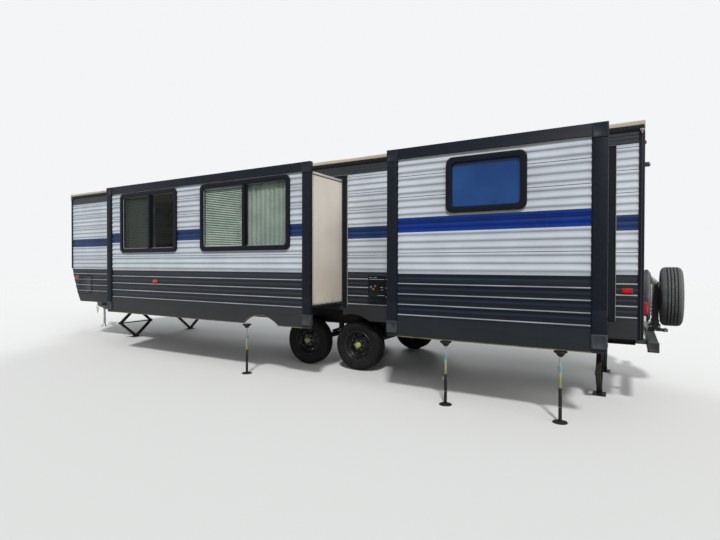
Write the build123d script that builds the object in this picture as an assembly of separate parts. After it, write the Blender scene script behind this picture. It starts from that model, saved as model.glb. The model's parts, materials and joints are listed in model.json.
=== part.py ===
from build123d import *
import os
from math import hypot

# Travel caravan, parked with both slide-outs open, in millimetres.
# Body frame: X forward from the rear wall, Y to the road side from the centreline, Z up from the ground.
# Every piece is moved once, on export, so that the origin is the middle of the whole thing's footprint.

# Body shell
HALF_WIDTH = 1220
WALL = 50
BODY_LENGTH = 10550
WALL_LOW = 740
WALL_TOP = 2950
FLOOR_LOW = 880
FLOOR_TOP = 955
FLOOR_FRONT = 10250
# The front wall is upright above NOSE_Z, then slants back in two flat runs: (X, Z) of its outer corners.
NOSE = [(10235, 740), (10365, 960), (10550, 1430)]
NOSE_THICK = 54
ROOF_OVER = 8
ROOF_EDGE_TOP = 3010
ROOF_FLAT_TOP = 3055
ROOF_FLAT_HALF = 600
INNER = HALF_WIDTH - WALL

# Ribbed siding: each course is a (drop below its own top, depth behind the crest) outline that repeats downwards.
# A light rib swells outwards as it falls, then tucks back under.
RIB = 78.5
RIB_SHAPE = [(0, 9), (14, 7.6), (28, 4.2), (40, 1.2), (50, 0), (58, 1), (70, 8)]
RIB_COUNT = 18
RIBS_TOP = 2859.5
# A dark course has a bright ledge, a broad band and a shallower band under it.
LEDGE = 117.5
LEDGE_SHAPE = [(0, 9), (12, 2), (22, 0), (52, 0), (60, 5), (68, 2.5), (94, 2.5), (108, 9)]
LEDGE_COUNT = 3
LEDGES_TOP = 1333
# The fascia along the wall's head has thin stepped bands.
FASCIA = 40
FASCIA_SHAPE = [(0, 3), (5, 0.5), (34, 0), (36, 3)]
FASCIA_COUNT = 4
FASCIA_LOW = 2787

# Slide-outs: both outer faces stand in one plane
SLIDE_OUT = 2045
TRIM_THICK = 12
CAP_THICK = 6
FACE_OUT = SLIDE_OUT - TRIM_THICK
FACE_THICK = 38
FACE_IN = FACE_OUT - FACE_THICK
FACE_LOW = 700
FACE_TOP = 2832
BOX_IN = 1150
BOX_LOW = 975
BOX_TOP = 2720
BOX_INSET = 40
BOX_WALL = 40
BOX_FLOOR = 60
BOX_ROOF = 50
OPENING_GAP = 20
OPENING_TOP = 2745
FLANGE_WIDE = 65
FLANGE_THICK = 12
HEADER_TALL = 120
SIDE_TRIM_WIDE = 125
CAP_WIDE = 130
CAP_TALL = 138
TRIM_LOW = 740
EDGE = 4
SLIDE_TRAVEL = 755

# Chassis
RAIL_Y = 800
RAIL_LOW = 630
RAIL_TOP = FLOOR_LOW
RAIL_WEB = 8
RAIL_FLANGE_WIDE = 90
RAIL_FLANGE = 10
RAIL_REAR = 60
RAIL_FRONT = 10150
CROSS_X = [150, 1350, 2650, 3050, 3945, 4850, 5850, 6850, 7950, 9300, 10090]
CROSS_WIDE = 50
CROSS_LOW = 700
CROSS_TOP = 850
OUTRIGGER_X = [150, 1350, 2650, 4980, 6400, 7950, 9300]
OUTRIGGER_WIDE = 40
OUTRIGGER_END = 1165
ARM = 50
ARM_LOW = 800
ARM_INNER = 250
ARM_GAP = 7

# Running gear
AXLE_X = {"rear": 3500, "front": 4390}
AXLE_Z = 360
TYRE_R = 360
TYRE_HALF = 112
TYRE_Y = 987.5
RIM_R = 200
AXLE_R = 38
SPINDLE_R = 22
BEAM_END = 905
HUB_BORE = 27
# Hub and brake drum of a wheel, along Y from its middle: the drum's two ends, the hub's face and its cap's tip
HUB_R = 47
DRUM_R = 128
DRUM_BACK = -72
DRUM_FRONT = -20
HUB_FACE = 62
HUB_CAP = 106
ARCH_R = 465
# An axle's spindle end, and the backing plate of its brakes
SPINDLE_END = 1045
BACKPLATE_R = 140
BACKPLATE = 10
# Leaf springs: half length, width, thickness of the stack in the middle and of its ends, height of the eyes
SPRING_HALF = 325
SPRING_WIDE = 45
SPRING_STACK = 45
SPRING_TIP = 25
SPRING_EYE_Z = 500
HANGER_HALF = 22
WHEELS = {
    "front_road": ("front", 1), "front_curb": ("front", -1), "rear_road": ("rear", 1), "rear_curb": ("rear", -1),
}

# Tongue
TONGUE_REAR = 9700
TONGUE_FRONT = 11560
TONGUE_REAR_HALF = 840
TONGUE_FRONT_HALF = 70
TONGUE_BAR = 62
TONGUE_LOW = 500
SOCKET_X = 11740
SOCKET_R = 29.6
SOCKET_DEEP = 40
COUPLER_LOW = 590
COUPLER_R = 50
COUPLER_FRONT = SOCKET_X + COUPLER_R
COUPLER_REAR = 11470
COUPLER_HALF = 45
COUPLER_TOP = 690
COUPLER_BEVEL = 14
# Tongue jack: a powered head on a tube, in which the leg slides
JACK_X = 11370
JACK_TUBE_R = 31
JACK_TUBE_BORE = 26
JACK_TUBE_LOW = 430
JACK_HEAD_LOW = 1010
JACK_LEG_R = 25
JACK_LEG_TOP = 620
JACK_FOOT_R = 80
JACK_FOOT = 12
# Scissor jacks near the chassis corners
STABILIZER_X = [420, 9110]
STABILIZER_Y = 700
STABILIZER_SPREAD = 345
STABILIZER_PIVOT = 30
STABILIZER_LOW_PIN = 42
STABILIZER_HIGH_PIN = 590
# Gas cylinders stand on a tray: a domed bottle in a foot ring, with an open collar round its valve
CYLINDER_X = 10915
CYLINDER_Y = 165
CYLINDER_R = 152
TRAY_X = (10440, 11090)
TRAY_HALF = 300
TRAY_TOP = 638
HOLD_DOWN_Z = 1040
# Battery box: its tub, and the lid that overlaps it
BATTERY_X = (10478, 10692)
BATTERY_HALF = 170
BATTERY_TOP = 815
LID_OVER = 9
LID_Z = (800, 860)

# Far back: the outer spare stands behind the rear wall
SPARE_X = -320
SPARE_Z = 1137
SPARE_BACK = SPARE_X - TYRE_HALF
INNER_SPARE_X = -60
INNER_SPARE_HALF = 43
INNER_SPARE_R = 330
INNER_SPARE_RIM = 210
BUMPER_X = (-150, -48)
BUMPER_Z = (605, 707)
BUMPER_HALF = 1100
BUMPER_CAP = 7
# The spare wheels' carrier, upwards from the bumper: X ends, half width and Z ends of each block
CARRIER = [
    {"x0": -290, "x1": -40, "half": 60, "z0": 707, "z1": 735},
    {"x0": -215, "x1": -90, "half": 52, "z0": 735, "z1": 792},
    {"x0": -200, "x1": -110, "half": 46, "z0": 792, "z1": 845},
    {"x0": -195, "x1": -118, "half": 38, "z0": 845, "z1": 1290},
]
# A wheel's centre disc: Y of its bolting face, and its thickness
DISC_FACE = 44
DISC_THICK = 8
DISC_DISH = 18
HAND_HOLES = 8
HAND_HOLE_R = 16

# Roof fittings: the air conditioner with its louvre slots along each flank, two vents with lids, two vent pipes
COOLER_X = (4900, 5720)
COOLER_HALF = 340
COOLER_TOP = 3300
LOUVRES = 11
LOUVRE_PITCH = 36
VENT_X = [1500, 8900]
VENT_PIPES = [{"x": 2900, "y": 380}, {"x": 7600, "y": -420}]

# Tanks under the floor: X ends of each, half width and lowest Z, and the waste pipe's place and radius
TANK_X = [(2120, 2590), (5950, 6800)]
TANK_HALF = 640
TANK_LOW = 715
WASTE_X = 2300
WASTE_Z = 585
WASTE_R = 38

# Kerb side: the rolled awning, its end caps and its folded arms
AWNING_Y = -1285
AWNING_R = 50
AWNING_X = (3560, 9340)
AWNING_Z = 2872
AWNING_CAP = 18
ARM_X = [3562, 9292]
ARM_Z = (1150, 2850)
# Entry steps: X ends, the treads' thickness, and the tops of the lower and the upper tread
STEP_OUT = -1660
STEP_X = (5650, 6220)
STEP_THICK = 25
STEP_TOPS = (355, 610)
RUNNER_TOP = 612
# Grab rail by the door, and plates on the wall: X ends, Z ends and how far each stands out
GRAB_RAIL_X = 5500
FRIDGE_VENT = {"x0": 8350, "x1": 8850, "z0": 1050, "z1": 1500, "out": 14}
VENT_SLOTS = 9
VENT_SLOT_PITCH = 45
HEATER_DOOR = {"x0": 2000, "x1": 2330, "z0": 980, "z1": 1310, "out": 12}
PORCH_LAMP = {"x0": 5380, "x1": 5520, "z0": 2180, "z1": 2260, "out": 24}
POWER_INLET = {"x0": 6600, "x1": 6690, "z0": 1330, "z1": 1460, "out": 18}

# Lamps on the rear wall, one side: Y ends, Z ends and depth. Lamps on the side walls: X ends and Z ends
TAIL_LAMPS = [
    {"y0": 1010, "y1": 1150, "z0": 1000, "z1": 1130, "deep": 40},
    {"y0": 1090, "y1": 1150, "z0": 2790, "z1": 2825, "deep": 22},
]
REAR_MARKER = {"x0": 93, "x1": 199, "z0": 1220, "z1": 1276}
FRONT_MARKER = {"x0": 10290, "x1": 10396, "z0": 1220, "z1": 1276}
SLIDE_MARKER = {"x0": 6625, "x1": 6731, "z0": 1220, "z1": 1276}
MARKER_OUT = 18
MARKER_SLOPE = 12

# Utility panel: its frame, and the X, Z and radius of each tap or knob on its plate
PANEL = {"x0": 2976, "x1": 3242, "z0": 991, "z1": 1367}
PANEL_OUT = 16
PANEL_RIM = 14
PANEL_KNOBS = [
    {"x": 3165, "z": 1300, "r": 20}, {"x": 3060, "z": 1255, "r": 20}, {"x": 3160, "z": 1160, "r": 20},
    {"x": 3055, "z": 1110, "r": 16}, {"x": 3100, "z": 1330, "r": 12},
]

# Stands under the slide-outs
STAND_X = [696, 1850, 4743]
STAND_Y = 2010
STAND_TOP = FACE_LOW - 10
STAND_BASE_R = 70
# Base, lower tube, middle tube, locking collar, screw and head, upwards: (top Z, radius)
STAND_STEPS = [(8, STAND_BASE_R), (329, 16.5), (496, 13.5), (546, 18.5), (STAND_TOP - 14, 9), (STAND_TOP, 62)]

# The origin: middle of the footprint, on the ground
ORIGIN_X = (SPARE_BACK + COUPLER_FRONT) / 2
ORIGIN_Y = (STAND_Y + STAND_BASE_R + STEP_OUT) / 2

# Each slide-out: its ends along X, the X of its two arms and the X of a wheel arch in its skirt
SLIDES = {
    "rear_slide": {"x0": 300, "x1": 2550, "arms": [800, 2050], "arch": None},
    "front_slide": {"x0": 3635, "x1": 7950, "arms": [5350, 7300], "arch": 4480},
}
# Windows in the slide-outs: X ends, Z ends and the X of an upright bar between two panes
SLIDE_WINDOWS = {
    "rear_slide": [{"x0": 1008, "x1": 1842, "z0": 2075, "z1": 2665, "bar": None}],
    "front_slide": [
        {"x0": 3963, "x1": 5635, "z0": 1715, "z1": 2695, "bar": 4770},
        {"x0": 6157, "x1": 7564, "z0": 1715, "z1": 2695, "bar": 6810},
    ],
}
CURB_WINDOWS = [
    {"x0": 700, "x1": 1750, "z0": 1800, "z1": 2600, "bar": 1225},
    {"x0": 2500, "x1": 3250, "z0": 2080, "z1": 2600, "bar": None},
    {"x0": 4150, "x1": 5200, "z0": 1800, "z1": 2600, "bar": 4675},
    {"x0": 7300, "x1": 8100, "z0": 2000, "z1": 2600, "bar": None},
    {"x0": 9480, "x1": 10050, "z0": 2000, "z1": 2600, "bar": None},
]
WINDOW_RADIUS = 75
WINDOW_FRAME = 62
WINDOW_LIP = 30
WINDOW_PROUD = 22
WINDOW_BEVEL = 12
WINDOW_GAP = 0.5
BAR_WIDE = 50
GLASS = 6

# Entry door
DOOR_X0 = 5600
DOOR_X1 = 6270
DOOR_Z0 = 965
DOOR_Z1 = 2795
DOOR_GAP = 5
DOOR_PROUD = 6
DOOR_THICK = 40
DOOR_HINGE_X = 6272.5
DOOR_HINGE_Y = 1228
DOOR_HINGE_Z = [1150, 1880, 2640]
DOOR_HINGE_HALF = 45
DOOR_HANDLE_Z = (1690, 1850)
DOOR_WINDOW = {"x0": 5700, "x1": 6170, "z0": 1950, "z1": 2560, "bar": None}

# Baggage doors, one each side of the nose
HATCH_X0 = 9830
HATCH_X1 = 10290
HATCH_Z0 = 905
HATCH_Z1 = 1285
HATCH_THICK = 36
HATCH_HINGE_Y = 1230
HATCH_HINGE_Z = 1288


def block(x0, x1, y0, y1, z0, z1):
    return Pos((x0 + x1) / 2, (y0 + y1) / 2, (z0 + z1) / 2) * Box(x1 - x0, y1 - y0, z1 - z0)


def side_plane(y):
    return Plane(origin=(0, y, 0), x_dir=(1, 0, 0), z_dir=(0, -1, 0))


def end_plane(x):
    return Plane(origin=(x, 0, 0), x_dir=(0, 1, 0), z_dir=(1, 0, 0))


def plan_plane(z):
    return Plane(origin=(0, 0, z), x_dir=(1, 0, 0), z_dir=(0, 0, 1))


def prism_xz(points, y0, y1):
    return extrude(side_plane(y1) * make_face(Polyline(*points, close=True)), y1 - y0)


def prism_yz(points, x0, x1):
    return extrude(end_plane(x0) * make_face(Polyline(*points, close=True)), x1 - x0)


def prism_xy(points, z0, z1):
    return extrude(plan_plane(z0) * make_face(Polyline(*points, close=True)), z1 - z0)


def rod_x(x0, x1, y, z, radius):
    return Pos((x0 + x1) / 2, y, z) * Rot(0, 90, 0) * Cylinder(radius, x1 - x0)


def rod_y(x, y0, y1, z, radius):
    return Pos(x, (y0 + y1) / 2, z) * Rot(90, 0, 0) * Cylinder(radius, y1 - y0)


def rod_z(x, y, z0, z1, radius):
    return Pos(x, y, (z0 + z1) / 2) * Cylinder(radius, z1 - z0)


def rounded_xz(x0, x1, z0, z1, radius, y0, y1):
    sheet = Pos((x0 + x1) / 2, (z0 + z1) / 2) * RectangleRounded(x1 - x0, z1 - z0, radius)
    return extrude(side_plane(y1) * sheet, y1 - y0)


def join(pieces):
    first, *rest = pieces
    return first.fuse(*rest) if rest else first


def flip_y(piece):
    return mirror(piece, Plane.XZ)


# Openings and window pieces

def window_hole(w, y0, y1):
    lip = WINDOW_LIP
    radius = WINDOW_RADIUS - lip
    return rounded_xz(w["x0"] + lip, w["x1"] - lip, w["z0"] + lip, w["z1"] - lip, radius, y0, y1)


def pane_ends(w):
    """X ends of each pane: one, or two on either side of the bar."""
    x0 = w["x0"] + WINDOW_FRAME
    x1 = w["x1"] - WINDOW_FRAME
    if w["bar"] is None:
        return [(x0, x1)]
    return [(x0, w["bar"] - BAR_WIDE / 2), (w["bar"] + BAR_WIDE / 2, x1)]


def window_frame(w, y_in, y_out):
    """A flange with a bevelled rim on the outer face, a sleeve through the wall, and the panes' openings cut."""
    flange = rounded_xz(w["x0"], w["x1"], w["z0"], w["z1"], WINDOW_RADIUS, y_out, y_out + WINDOW_PROUD)
    flange = chamfer(flange.faces().sort_by(Axis.Y)[-1].edges(), WINDOW_BEVEL)
    inset = WINDOW_LIP + WINDOW_GAP
    sleeve = rounded_xz(
        w["x0"] + inset, w["x1"] - inset, w["z0"] + inset, w["z1"] - inset,
        WINDOW_RADIUS - inset, y_in, y_out,
    )
    frame = flange + sleeve
    z0 = w["z0"] + WINDOW_FRAME
    z1 = w["z1"] - WINDOW_FRAME
    for x0, x1 in pane_ends(w):
        frame -= rounded_xz(x0, x1, z0, z1, WINDOW_RADIUS - WINDOW_FRAME, y_in - 1, y_out + WINDOW_PROUD + 1)
    return frame


def window_panes(w, y):
    z0 = w["z0"] + WINDOW_FRAME + WINDOW_GAP
    z1 = w["z1"] - WINDOW_FRAME - WINDOW_GAP
    radius = WINDOW_RADIUS - WINDOW_FRAME - WINDOW_GAP
    return [
        rounded_xz(x0 + WINDOW_GAP, x1 - WINDOW_GAP, z0, z1, radius, y, y + GLASS)
        for x0, x1 in pane_ends(w)
    ]


def hatch_hole(y0, y1):
    gap = DOOR_GAP
    return block(HATCH_X0 - gap, HATCH_X1 + gap, y0, y1, HATCH_Z0 - gap, HATCH_Z1 + gap)


# Siding

def courses(shape, pitch, count, top):
    """(depth, Z) points, upwards, of count courses that hang one below another from top."""
    return [
        (depth, top - course * pitch - drop)
        for course in reversed(range(count))
        for drop, depth in reversed(shape)
    ]


def siding_line(low, top):
    """(depth, Z) points of the ribbed outer face from low to top: skirt, dark courses, light ribs, fascia."""
    skirt_top = LEDGES_TOP - LEDGE_COUNT * LEDGE
    points = [(0, low), (0, skirt_top - 22), (9, skirt_top)]
    points += courses(LEDGE_SHAPE, LEDGE, LEDGE_COUNT, LEDGES_TOP)
    points += courses(RIB_SHAPE, RIB, RIB_COUNT, RIBS_TOP)
    if top > FACE_TOP:
        points = [point for point in points if point[1] < FASCIA_LOW - 10]
        points += courses(FASCIA_SHAPE, FASCIA, FASCIA_COUNT, FASCIA_LOW + FASCIA_COUNT * FASCIA)
    points = [point for point in points if point[1] < top - 3]
    return points + [(points[-1][0], top)]


def ribbed_board(x0, x1, y_in, y_out, low, top):
    """A board across Y whose outer face at y_out is ribbed along X."""
    line = [(y_out - depth, z) for depth, z in siding_line(low, top)]
    return prism_yz([(y_in, low), *line, (y_in, top)], x0, x1)


# Body shell

def side_wall_sheet():
    outline = [(0, WALL_LOW), *NOSE, (BODY_LENGTH, WALL_TOP), (0, WALL_TOP)]
    board = ribbed_board(0, BODY_LENGTH, INNER, HALF_WIDTH, WALL_LOW, WALL_TOP)
    return board & prism_xz(outline, INNER - 5, HALF_WIDTH + 5)


def wheel_arch(x, y0, y1):
    return rod_y(x, y0, y1, AXLE_Z, ARCH_R)


def slide_opening_ends(slide):
    inset = BOX_INSET - OPENING_GAP
    return slide["x0"] + inset, slide["x1"] - inset


def road_wall():
    y0 = INNER - 5
    y1 = HALF_WIDTH + 5
    wall = side_wall_sheet()
    for slide in SLIDES.values():
        x0, x1 = slide_opening_ends(slide)
        wall -= block(x0, x1, y0, y1, FLOOR_TOP, OPENING_TOP)
        wall -= block(x0, x1, y0, y1, WALL_LOW - 5, FLOOR_LOW)
    wall -= wheel_arch(AXLE_X["rear"], y0, y1)
    wall -= hatch_hole(y0, y1)
    return wall


def curb_wall():
    y0 = -HALF_WIDTH - 5
    y1 = -INNER + 5
    wall = flip_y(side_wall_sheet())
    for x in AXLE_X.values():
        wall -= wheel_arch(x, y0, y1)
    wall -= block(AXLE_X["rear"], AXLE_X["front"], y0, y1, WALL_LOW - 5, AXLE_Z + ARCH_R)
    wall -= block(DOOR_X0 - DOOR_GAP, DOOR_X1 + DOOR_GAP, y0, y1, DOOR_Z0 - DOOR_GAP, DOOR_Z1 + DOOR_GAP)
    for w in CURB_WINDOWS:
        wall -= flip_y(window_hole(w, INNER - 5, HALF_WIDTH + 5))
    wall -= hatch_hole(y0, y1)
    return wall


def rear_wall():
    line = [(depth, z) for depth, z in siding_line(WALL_LOW, WALL_TOP)]
    return prism_xz([(WALL, WALL_LOW), *line, (WALL, WALL_TOP)], -INNER, INNER)


def front_wall():
    outer = [*NOSE, (BODY_LENGTH, WALL_TOP)]
    inner = [(x - NOSE_THICK, z) for x, z in reversed(outer)]
    upright = [(BODY_LENGTH - depth, z) for depth, z in siding_line(WALL_LOW, WALL_TOP) if z > NOSE[-1][1] + 5]
    return prism_xz([*NOSE, *upright] + inner, -INNER, INNER)


def floor_deck():
    return block(WALL, FLOOR_FRONT, -INNER, INNER, FLOOR_LOW, FLOOR_TOP)


def roof():
    half = HALF_WIDTH + ROOF_OVER
    section = [
        (-half, WALL_TOP), (half, WALL_TOP), (half, ROOF_EDGE_TOP), (ROOF_FLAT_HALF, ROOF_FLAT_TOP),
        (-ROOF_FLAT_HALF, ROOF_FLAT_TOP), (-half, ROOF_EDGE_TOP),
    ]
    return prism_yz(section, -ROOF_OVER, BODY_LENGTH + ROOF_OVER)


def corner_trims():
    """Angle strips on the rear corners and a gutter rail along each wall's head."""
    leg = 45
    thick = 4
    out = HALF_WIDTH + thick
    strip = block(0, leg, HALF_WIDTH, out, WALL_LOW, WALL_TOP - 30)
    strip += block(-thick, 0, HALF_WIDTH - leg, out, WALL_LOW, WALL_TOP - 30)
    gutter = block(0, BODY_LENGTH, HALF_WIDTH, out + 4, WALL_TOP - 30, WALL_TOP)
    one_side = strip + gutter
    return [one_side, flip_y(one_side)]


def slide_opening_trims():
    """A flat flange round each opening in the road-side wall, open at the sill."""
    flanges = []
    for slide in SLIDES.values():
        x0, x1 = slide_opening_ends(slide)
        y0 = HALF_WIDTH
        y1 = HALF_WIDTH + FLANGE_THICK
        z0 = FLOOR_TOP - 25
        top = OPENING_TOP + 40
        flange = block(x0 - FLANGE_WIDE, x1 + FLANGE_WIDE, y0, y1, z0, top)
        flange -= block(x0, x1, y0 - 5, y1 + 5, z0 - 5, OPENING_TOP)
        flanges.append(flange)
    return flanges


# Slide-outs

def slide_face(name):
    slide = SLIDES[name]
    x0 = slide["x0"] + EDGE
    x1 = slide["x1"] - EDGE
    face = ribbed_board(x0, x1, FACE_IN, FACE_OUT, FACE_LOW, FACE_TOP - EDGE)
    for w in SLIDE_WINDOWS[name]:
        face -= window_hole(w, FACE_IN - 5, FACE_OUT + 5)
    if slide["arch"]:
        face -= rod_y(slide["arch"], FACE_IN - 5, FACE_OUT + 5, AXLE_Z, ARCH_R)
    return face


def slide_trim(name):
    slide = SLIDES[name]
    x0 = slide["x0"]
    x1 = slide["x1"]
    trim = block(x0, x1, FACE_OUT, SLIDE_OUT, FACE_TOP - HEADER_TALL, FACE_TOP)
    trim += block(x0, x1, FACE_IN, FACE_OUT, FACE_TOP - EDGE, FACE_TOP)
    for inner, outer in ((x0 + SIDE_TRIM_WIDE, x0), (x1 - SIDE_TRIM_WIDE, x1)):
        trim += block(min(inner, outer), max(inner, outer), FACE_OUT, SLIDE_OUT, TRIM_LOW, FACE_TOP)
    for edge in (x0, x1 - EDGE):
        trim += block(edge, edge + EDGE, FACE_IN, SLIDE_OUT, TRIM_LOW, FACE_TOP)
    for cap_x in (x0, x1 - CAP_WIDE):
        for cap_z in (TRIM_LOW, FACE_TOP - CAP_TALL):
            cap_y = SLIDE_OUT + CAP_THICK
            trim += block(cap_x, cap_x + CAP_WIDE, FACE_OUT, cap_y, cap_z, cap_z + CAP_TALL)
    return trim


def slide_end_walls(name):
    slide = SLIDES[name]
    rear = slide["x0"] + BOX_INSET
    front = slide["x1"] - BOX_INSET
    return [
        block(rear, rear + BOX_WALL, BOX_IN, FACE_IN, BOX_LOW, BOX_TOP),
        block(front - BOX_WALL, front, BOX_IN, FACE_IN, BOX_LOW, BOX_TOP),
    ]


def slide_floor_and_roof(name):
    """The floor with the two arms that carry it, and the roof, between the end walls."""
    slide = SLIDES[name]
    x0 = slide["x0"] + BOX_INSET + BOX_WALL
    x1 = slide["x1"] - BOX_INSET - BOX_WALL
    floor = block(x0, x1, BOX_IN, FACE_IN, BOX_LOW, BOX_LOW + BOX_FLOOR)
    for x in slide["arms"]:
        floor += block(x - 60, x + 60, FACE_IN - 10, FACE_IN, ARM_LOW - 30, BOX_LOW + BOX_FLOOR)
        floor += block(x - ARM / 2, x + ARM / 2, ARM_INNER, FACE_IN, ARM_LOW, ARM_LOW + ARM)
    return [floor, block(x0, x1, BOX_IN, FACE_IN, BOX_TOP - BOX_ROOF, BOX_TOP)]


def slide_window_frames(name):
    return [window_frame(w, FACE_IN, FACE_OUT) for w in SLIDE_WINDOWS[name]]


def slide_window_glass(name):
    panes = []
    for w in SLIDE_WINDOWS[name]:
        panes += window_panes(w, FACE_OUT - 12)
    return panes


# Kerb side windows and doors

def curb_window_frames():
    return [flip_y(window_frame(w, INNER, HALF_WIDTH)) for w in CURB_WINDOWS]


def curb_window_glass():
    panes = []
    for w in CURB_WINDOWS:
        panes += window_panes(w, HALF_WIDTH - 12)
    return [flip_y(pane) for pane in panes]


def entry_door():
    """Leaf, window frame and handle plate, hinged on its front edge."""
    out = HALF_WIDTH + DOOR_PROUD
    inner = out - DOOR_THICK
    leaf = block(DOOR_X0, DOOR_X1, inner, out, DOOR_Z0, DOOR_Z1)
    w = DOOR_WINDOW
    flange = rounded_xz(w["x0"], w["x1"], w["z0"], w["z1"], WINDOW_RADIUS, out, out + 10)
    leaf += flange
    x0, x1 = pane_ends(w)[0]
    z0 = w["z0"] + WINDOW_FRAME
    z1 = w["z1"] - WINDOW_FRAME
    leaf -= rounded_xz(x0, x1, z0, z1, WINDOW_RADIUS - WINDOW_FRAME, inner - 5, out + 15)
    leaf += block(DOOR_X0 + 30, DOOR_X0 + 130, out, out + 18, *DOOR_HANDLE_Z)
    half = DOOR_HINGE_HALF
    for z in DOOR_HINGE_Z:
        leaf += rod_z(DOOR_HINGE_X, DOOR_HINGE_Y, z - half, z + half, 6.5)
        leaf += block(DOOR_X1 - 40, DOOR_HINGE_X, out, out + 3.5, z - half + 3, z + half - 3)
    return flip_y(leaf)


def entry_door_glass():
    return flip_y(window_panes(DOOR_WINDOW, HALF_WIDTH - 12)[0])


def baggage_door():
    out = HALF_WIDTH + DOOR_PROUD
    leaf = block(HATCH_X0, HATCH_X1, out - HATCH_THICK, out, HATCH_Z0, HATCH_Z1)
    for x in (HATCH_X0 + 90, HATCH_X1 - 90):
        leaf += block(x - 25, x + 25, out, out + 8, HATCH_Z0 + 20, HATCH_Z0 + 60)
    leaf += block(HATCH_X0 + 10, HATCH_X1 - 10, out, HATCH_HINGE_Y, HATCH_Z1 - 30, HATCH_HINGE_Z)
    leaf += rod_x(HATCH_X0 + 10, HATCH_X1 - 10, HATCH_HINGE_Y, HATCH_HINGE_Z, 5)
    return leaf


# Chassis

def chassis_rail():
    web = block(RAIL_REAR, RAIL_FRONT, RAIL_Y - RAIL_WEB / 2, RAIL_Y + RAIL_WEB / 2, RAIL_LOW, RAIL_TOP)
    half = RAIL_FLANGE_WIDE / 2
    low = block(RAIL_REAR, RAIL_FRONT, RAIL_Y - half, RAIL_Y + half, RAIL_LOW, RAIL_LOW + RAIL_FLANGE)
    high = block(RAIL_REAR, RAIL_FRONT, RAIL_Y - half, RAIL_Y + half, RAIL_TOP - RAIL_FLANGE, RAIL_TOP)
    return web + low + high


def chassis_rails():
    """Two I-beams. The road-side web has a square hole for each slide arm."""
    road = chassis_rail()
    half = ARM / 2 + ARM_GAP
    for slide in SLIDES.values():
        for x in slide["arms"]:
            road -= block(
                x - half, x + half, RAIL_Y - 20, RAIL_Y + 20, ARM_LOW - ARM_GAP, ARM_LOW + ARM + ARM_GAP,
            )
    return [road, flip_y(chassis_rail())]


def cross_members():
    """Bars between the rails, and the outriggers that carry the side walls."""
    web = RAIL_Y - RAIL_WEB / 2
    half = CROSS_WIDE / 2
    bars = [block(x - half, x + half, -web, web, CROSS_LOW, CROSS_TOP) for x in CROSS_X]
    y_web = RAIL_Y + RAIL_WEB / 2
    y_flange = RAIL_Y + RAIL_FLANGE_WIDE / 2
    under = RAIL_TOP - RAIL_FLANGE
    section = [
        (y_web, CROSS_LOW), (OUTRIGGER_END, 820), (OUTRIGGER_END, RAIL_TOP), (y_flange, RAIL_TOP),
        (y_flange, under), (y_web, under),
    ]
    for x in OUTRIGGER_X:
        bracket = prism_yz(section, x - OUTRIGGER_WIDE / 2, x + OUTRIGGER_WIDE / 2)
        bars += [bracket, flip_y(bracket)]
    return bars


def tongue_half_width(x):
    share = (x - TONGUE_REAR) / (TONGUE_FRONT - TONGUE_REAR)
    return TONGUE_REAR_HALF + share * (TONGUE_FRONT_HALF - TONGUE_REAR_HALF)


def tongue_frame():
    """Two bars that meet at the coupler, closed by a cross bar under the main rails."""
    outer = [
        (TONGUE_REAR, TONGUE_REAR_HALF), (TONGUE_FRONT, TONGUE_FRONT_HALF),
        (TONGUE_FRONT, -TONGUE_FRONT_HALF), (TONGUE_REAR, -TONGUE_REAR_HALF),
    ]
    x0 = TONGUE_REAR + 70
    x1 = TONGUE_FRONT - 100
    inner = [
        (x0, tongue_half_width(x0) - TONGUE_BAR), (x1, tongue_half_width(x1) - TONGUE_BAR),
        (x1, TONGUE_BAR - tongue_half_width(x1)), (x0, TONGUE_BAR - tongue_half_width(x0)),
    ]
    return prism_xy(outer, TONGUE_LOW, RAIL_LOW) - prism_xy(inner, TONGUE_LOW - 5, RAIL_LOW + 5)


def hitch_coupler():
    """Pressed channel with shouldered top, a domed ball socket open downwards and a latch lever on top."""
    half = COUPLER_HALF
    top = COUPLER_TOP
    bevel = COUPLER_BEVEL
    section = [
        (-half, RAIL_LOW), (half, RAIL_LOW), (half, top - bevel), (half - bevel, top), (bevel - half, top),
        (-half, top - bevel),
    ]
    coupler = prism_yz(section, COUPLER_REAR, SOCKET_X)
    dome = top - 16
    coupler += rod_z(SOCKET_X, 0, COUPLER_LOW, dome, COUPLER_R)
    coupler += Pos(SOCKET_X, 0, dome + 9) * Cone(COUPLER_R, COUPLER_R - 18, 18)
    coupler -= rod_z(SOCKET_X, 0, COUPLER_LOW - 5, COUPLER_LOW + SOCKET_DEEP, SOCKET_R)
    x = COUPLER_REAR + 72
    lever = [(x, top), (x + 14, top + 22), (x + 108, top + 22), (x + 148, top + 16), (x + 164, top)]
    return coupler + prism_xz(lever, -14, 14)


# Running gear

def axles():
    beams = []
    for x in AXLE_X.values():
        beam = rod_y(x, -BEAM_END, BEAM_END, AXLE_Z, AXLE_R)
        beam += rod_y(x, -SPINDLE_END, SPINDLE_END, AXLE_Z, SPINDLE_R)
        for y0 in (BEAM_END - BACKPLATE, -BEAM_END):
            beam += rod_y(x, y0, y0 + BACKPLATE, AXLE_Z, BACKPLATE_R)
        beams.append(beam)
    return beams


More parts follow.
